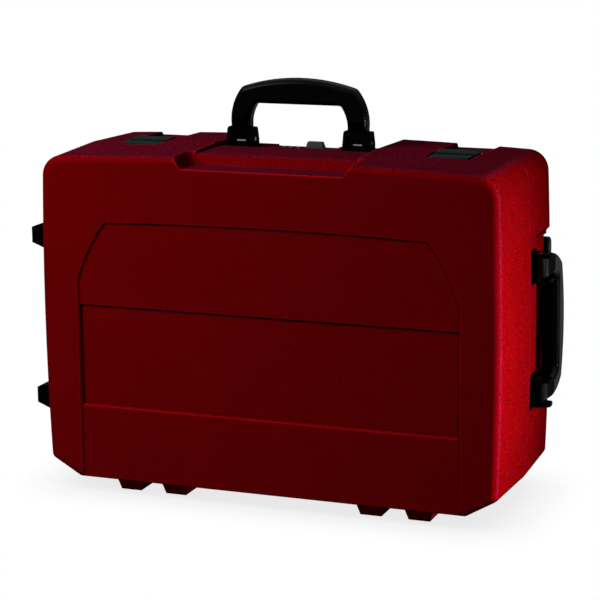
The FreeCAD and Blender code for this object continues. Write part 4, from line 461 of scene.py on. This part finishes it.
tread = np.stack([np.full(TREAD_ROWS, TYRE), across], axis=1)
side_wall = np.array([(BORE, HALF_WIDTH), (RING_START, HALF_WIDTH), (RING_DEEP, HALF_WIDTH - RING_DEPTH),
                      (RING_RISE, HALF_WIDTH - RING_DEPTH), (RING_END, HALF_WIDTH)])
half_profile = np.vstack([side_wall, flank])
tyre_profile = np.vstack([half_profile, tread, half_profile[::-1] * (1, -1)])


def slot_depth(phase, share):
    """1 amid a repeating slot that takes a share of each period, 0 on the land, with sloped walls."""
    away = np.abs(phase % 1.0 - 0.5)
    return np.clip((share / 2 - away) / SLOT_SLOPE + 0.5, 0, 1)


def tread_relief(turn, along, radius):
    """Depth of tread: slanted slots of one count round the wheel and a middle groove, faded inwards."""
    slots = slot_depth(BLOCKS * turn / (2 * np.pi) + np.abs(along) / SLANT, SLOT_SHARE)
    groove = np.clip((GROOVE_EDGE - np.abs(along)) / GROOVE_SLOPE, 0, 1)
    return TREAD_DEPTH * np.maximum(slots, groove) * np.clip((radius - TREAD_START) / TREAD_FADE, 0, 1)


for level in ("lower", "upper"):
    tyre = piece("tyre_treaded_" + level,
                 *spun(tyre_profile, PIVOTS["wheel_%s_roll" % level], Z, TYRE_SIDES, tread_relief),
                 RUBBER, "wheel_" + level)
    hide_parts("wheel_tyre_" + level)

# Grips: places and slopes are shares of the length, and depths are in millimetres
GRIP_ROWS, GRIP_SIDES = 61, 72
COLLAR, COLLAR_SLOPE = 0.075, 0.02
BARREL_START, BARREL_SWELL = 0.1, 0.8
GROOVE, GROOVE_SPREAD, GROOVE_DEPTH = 0.095, 0.012, 1.2
END_CHAMFER = 1.0
FLUTES, FLUTE_DEPTH, FLUTE_START, FLUTE_FADE = 6, 1.4, 0.13, 0.06


def grip_profile(start, end, bore, full, waist):
    """Hand grip along X: end collars of full radius, and a barrel between them that swells from the waist."""
    share = np.linspace(0, 1, GRIP_ROWS)
    nearer = np.minimum(share, 1 - share)
    collar = np.clip((nearer - COLLAR) / COLLAR_SLOPE, 0, 1)
    swell = np.sin(np.pi * np.clip((share - BARREL_START) / (1 - 2 * BARREL_START), 0, 1)) ** 2
    barrel = waist + (full - waist) * BARREL_SWELL * swell
    groove = np.exp(-((nearer - GROOVE) / GROOVE_SPREAD) ** 2)
    outer = full + (barrel - full) * collar - GROOVE_DEPTH * groove - END_CHAMFER * (nearer == 0)
    length = start + share * (end - start)
    return np.vstack([[(bore, start)], np.stack([outer, length], axis=1), [(bore, end)]])


def flutes(start, end, bore):
    """Rounded flutes along a grip: depth * half of (1 - cos(count * turn)), faded out before both ends."""
    def relief(turn, along, radius):
        share = (along - start) / (end - start)
        fade = np.clip((np.minimum(share, 1 - share) - FLUTE_START) / FLUTE_FADE, 0, 1)
        return FLUTE_DEPTH * fade * (radius > bore + 1) * (0.5 - 0.5 * np.cos(FLUTES * turn))
    return relief


# Each grip: node, ends in X, radius of the bore, full and waist radius, axis in Y and Z
GRIPS = (("ratchet_grip", (-80.0, 50.0), 7.0, 13.5, 11.0, (6.0, 225.0)),
         ("spinner_grip", (60.0, 155.0), 4.0, 14.0, 11.6, (6.0, 121.0)))
for node, ends, bore, full, waist, axis in GRIPS:
    profile = grip_profile(*ends, bore, full, waist)
    grip = piece(node + "_fluted", *spun(profile, (0.0, *axis), X, GRIP_SIDES, flutes(*ends, bore)),
                 GRIP, "base")
    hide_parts(node)

# Numbers 0 to 9 round each dial, one on every flat.
DIGITS, DIAL_FLAT, NUMBER_SIZE = 10, 4.95, 3.4
lettering = bpy.data.curves.new("number", "FONT")
lettering.align_x = "CENTER"
lettering.align_y = "CENTER"
lettering.extrude = 0.02
lettering.resolution_u = 3
writer = placed("number", lettering)
points, faces, count = [], [], 0
for number in range(DIGITS):
    lettering.body = str(number)
    written = bpy.data.meshes.new_from_object(writer.evaluated_get(bpy.context.evaluated_depsgraph_get()))
    written.calc_loop_triangles()
    flat = np.empty(3 * len(written.vertices))
    written.vertices.foreach_get("co", flat)
    flat = flat.reshape(-1, 3) * NUMBER_SIZE
    triangles = np.empty(3 * len(written.loop_triangles), dtype=np.int32)
    written.loop_triangles.foreach_get("vertices", triangles)
    turn = math.radians(360 / DIGITS * number)
    outward = np.array([0, math.cos(turn), math.sin(turn)])
    upward = np.array([0, math.sin(turn), -math.cos(turn)])
    points.append(flat[:, [X]] * (1, 0, 0) + flat[:, [Y]] * upward + (flat[:, [Z]] + DIAL_FLAT) * outward)
    faces.append(triangles.reshape(-1, 3) + count)
    count += len(flat)
bpy.data.objects.remove(writer)
for dial in (1, 2, 3):
    spot = np.vstack(points) + PIVOTS["dial_%d_turn" % dial]
    piece("dial_numbers_%d" % dial, spot * MM, np.vstack(faces), ENAMEL, "dial_%d" % dial)

# Pale sleeves on the carry handle's pins, seen through the slots in its legs as a painted glint: closed parts of a
# ring.
SLEEVE_RADIUS, SLEEVE_WALL, SLEEVE_HALF, SLEEVE_OUT = 5.6, 1.2, 5.9, 74.0
SLEEVE_FROM, SLEEVE_TO, SLEEVE_STEPS = 181, 204, 9
sweep = np.radians(np.linspace(SLEEVE_FROM, SLEEVE_TO, SLEEVE_STEPS))
arc = np.stack([np.cos(sweep), np.sin(sweep)], axis=1)
ring = np.vstack([SLEEVE_RADIUS * arc, (SLEEVE_RADIUS - SLEEVE_WALL) * arc[::-1]])
ring_middle = ring.mean(axis=0)
for side, middle in (("left", -SLEEVE_OUT), ("right", SLEEVE_OUT)):
    steps = middle + SLEEVE_HALF * np.array([-1, -1, 1, 1])
    open_rows = np.array([0, 1, 1, 0])[:, None, None]
    sleeve = np.empty((len(steps), len(ring), 3))
    sleeve[..., X] = steps[:, None]
    sleeve[..., Y:] = ring_middle + (ring - ring_middle) * open_rows + PIVOTS["top_handle_fold"][Y:]
    shown = piece("pin_glint_sleeve_" + side, sleeve.reshape(-1, 3) * MM,
                  grid_faces(len(steps), len(ring), False, True), PIN_GLINT, "top_handle")


# Studio, in metres

def soft_box(name, spot, aim, size, watts, spread=180.0, mirrored=True):
    """A square soft light at a spot, turned towards what it lights; a grid on it narrows its spread."""
    lamp = bpy.data.lights.new(name, "AREA")
    lamp.size = size
    lamp.energy = watts
    lamp.spread = math.radians(spread)
    holder = placed(name, lamp)
    spot, aim = np.array(spot), np.array(aim)
    back = (spot - aim) / np.linalg.norm(spot - aim)
    side = np.cross((0.0, 0.0, 1.0), back)
    side /= np.linalg.norm(side)
    turn = np.eye(4)
    turn[:3] = np.stack([side, np.cross(back, side), back, spot], axis=1)
    holder.matrix_world = Matrix(turn.tolist())
    holder.visible_camera = False
    holder.visible_glossy = mirrored


soft_box("key", spot=(2.3, -0.05, 0.12), aim=(0.3, -0.22, 0.20), size=0.45, watts=1.7, spread=14.0)
soft_box("fill", spot=(-0.90, -1.0, 1.05), aim=(-0.15, 0.0, 0.3), size=0.7, watts=9.2)
soft_box("back", spot=(-0.8, 2.3, 0.42), aim=(0.0, 0.1, 0.22), size=0.9, watts=22.0, mirrored=False)

# A dim room that is white to look at, with a white canopy overhead that shows only in reflections
ROOM_LIGHT = 0.06
world = bpy.data.worlds.new("white_studio")
bpy.context.scene.world = world
world.use_nodes = True
room = world.node_tree
room.nodes.clear()
ray = add(room, "ShaderNodeLightPath")
looked_at = add(room, "ShaderNodeMath",
                {0: ray.outputs["Is Camera Ray"], 1: ray.outputs["Is Transmission Ray"]}, operation="MAXIMUM")
heading = add(room, "ShaderNodeSeparateXYZ", {0: add(room, "ShaderNodeTexCoord").outputs["Generated"]})
canopy = add(room, "ShaderNodeMapRange",
             {"Value": heading.outputs["Z"], "From Min": 0.2, "From Max": 0.7,
              "To Min": ROOM_LIGHT, "To Max": 1.0}, interpolation_type="SMOOTHSTEP")
reflected = add(room, "ShaderNodeMath", {0: ray.outputs["Is Glossy Ray"], 1: canopy.outputs[0]},
                operation="MULTIPLY")
bright = add(room, "ShaderNodeMath", {0: looked_at.outputs[0], 1: reflected.outputs[0]}, operation="MAXIMUM")
strength = add(room, "ShaderNodeMath", {0: bright.outputs[0], 1: ROOM_LIGHT}, operation="MAXIMUM")
sky = add(room, "ShaderNodeBackground", {"Color": WHITE, "Strength": strength.outputs[0]})
add(room, "ShaderNodeOutputWorld", {"Surface": sky.outputs[0]})

# Pale paper floor: a matt sheet that throws light back; the camera sees it white, with a painted shadow under
# things.
FIBRE = 3.0
PAPER_GLOW = 0.19
SHADE_REACH, SHADE_SAMPLES = 70.0, 8
FLOOR_HALF = 12.0
PAPER, sheet, place = blank("paper_white")
fibres = add(sheet, "ShaderNodeTexNoise", {"Vector": place, "Scale": 1 / (FIBRE * MM), "Detail": 2.0})
tone = add(sheet, "ShaderNodeMix",
           {SHARE: fibres.outputs["Fac"], FIRST: linear("#9C9C9A"), SECOND: linear("#A6A6A4")},
           data_type="RGBA")
matt_side = add(sheet, "ShaderNodeBsdfDiffuse", {"Color": tone.outputs[MIXED]})
ray = add(sheet, "ShaderNodeLightPath")
reflected = add(sheet, "ShaderNodeMath", {0: ray.outputs["Is Glossy Ray"], 1: PAPER_GLOW},
                operation="MULTIPLY")
glow = add(sheet, "ShaderNodeEmission", {"Color": WHITE, "Strength": reflected.outputs[0]})
lit = add(sheet, "ShaderNodeAddShader", {0: matt_side.outputs[0], 1: glow.outputs[0]})
# Painted shadow: near things, the floor is darkened where it is hidden.
near = add(sheet, "ShaderNodeAmbientOcclusion", {"Distance": SHADE_REACH * MM}, samples=SHADE_SAMPLES)
shade = add(sheet, "ShaderNodeMapRange",
            {"Value": near.outputs["AO"], "From Min": 0.2, "From Max": 1.0, "To Min": 0.80, "To Max": 1.0})
clear = add(sheet, "ShaderNodeBsdfTransparent", {"Color": shade.outputs[0]})
seen_through = add(sheet, "ShaderNodeMath",
                   {0: ray.outputs["Is Camera Ray"], 1: ray.outputs["Is Shadow Ray"]}, operation="MAXIMUM")
paper = add(sheet, "ShaderNodeMixShader",
            {0: seen_through.outputs[0], 1: lit.outputs[0], 2: clear.outputs[0]})
surface(sheet, paper)

floor_mesh = bpy.data.meshes.new("floor")
floor_corners = [(-1, -1, 0), (1, -1, 0), (1, 1, 0), (-1, 1, 0)]
floor_mesh.from_pydata([(FLOOR_HALF * x, FLOOR_HALF * y, z) for x, y, z in floor_corners], [], [(0, 1, 2, 3)])
floor_mesh.materials.append(PAPER)
floor = placed("floor", floor_mesh)

# Camera at the photograph's angle: where it stands, and how far it is turned, dipped and rolled in degrees
CAMERA_SPOT = (0.916, -2.353, 0.788)
CAMERA_TURN, CAMERA_DIP, CAMERA_ROLL = 21.16, 10.78, -0.68
camera = bpy.data.cameras.new("camera")
camera.sensor_width = 36.0
camera.lens = 128.93
camera.shift_x = -0.0025
camera.shift_y = -0.108
camera.clip_end = 50.0
eye = placed("camera", camera)
aimed = (Matrix.Rotation(math.radians(CAMERA_TURN), 4, "Z")
         @ Matrix.Rotation(math.radians(90 - CAMERA_DIP), 4, "X")
         @ Matrix.Rotation(math.radians(CAMERA_ROLL), 4, "Z"))
eye.matrix_world = Matrix.Translation(CAMERA_SPOT) @ aimed
bpy.context.scene.camera = eye
bpy.context.scene.view_settings.view_transform = "Standard"
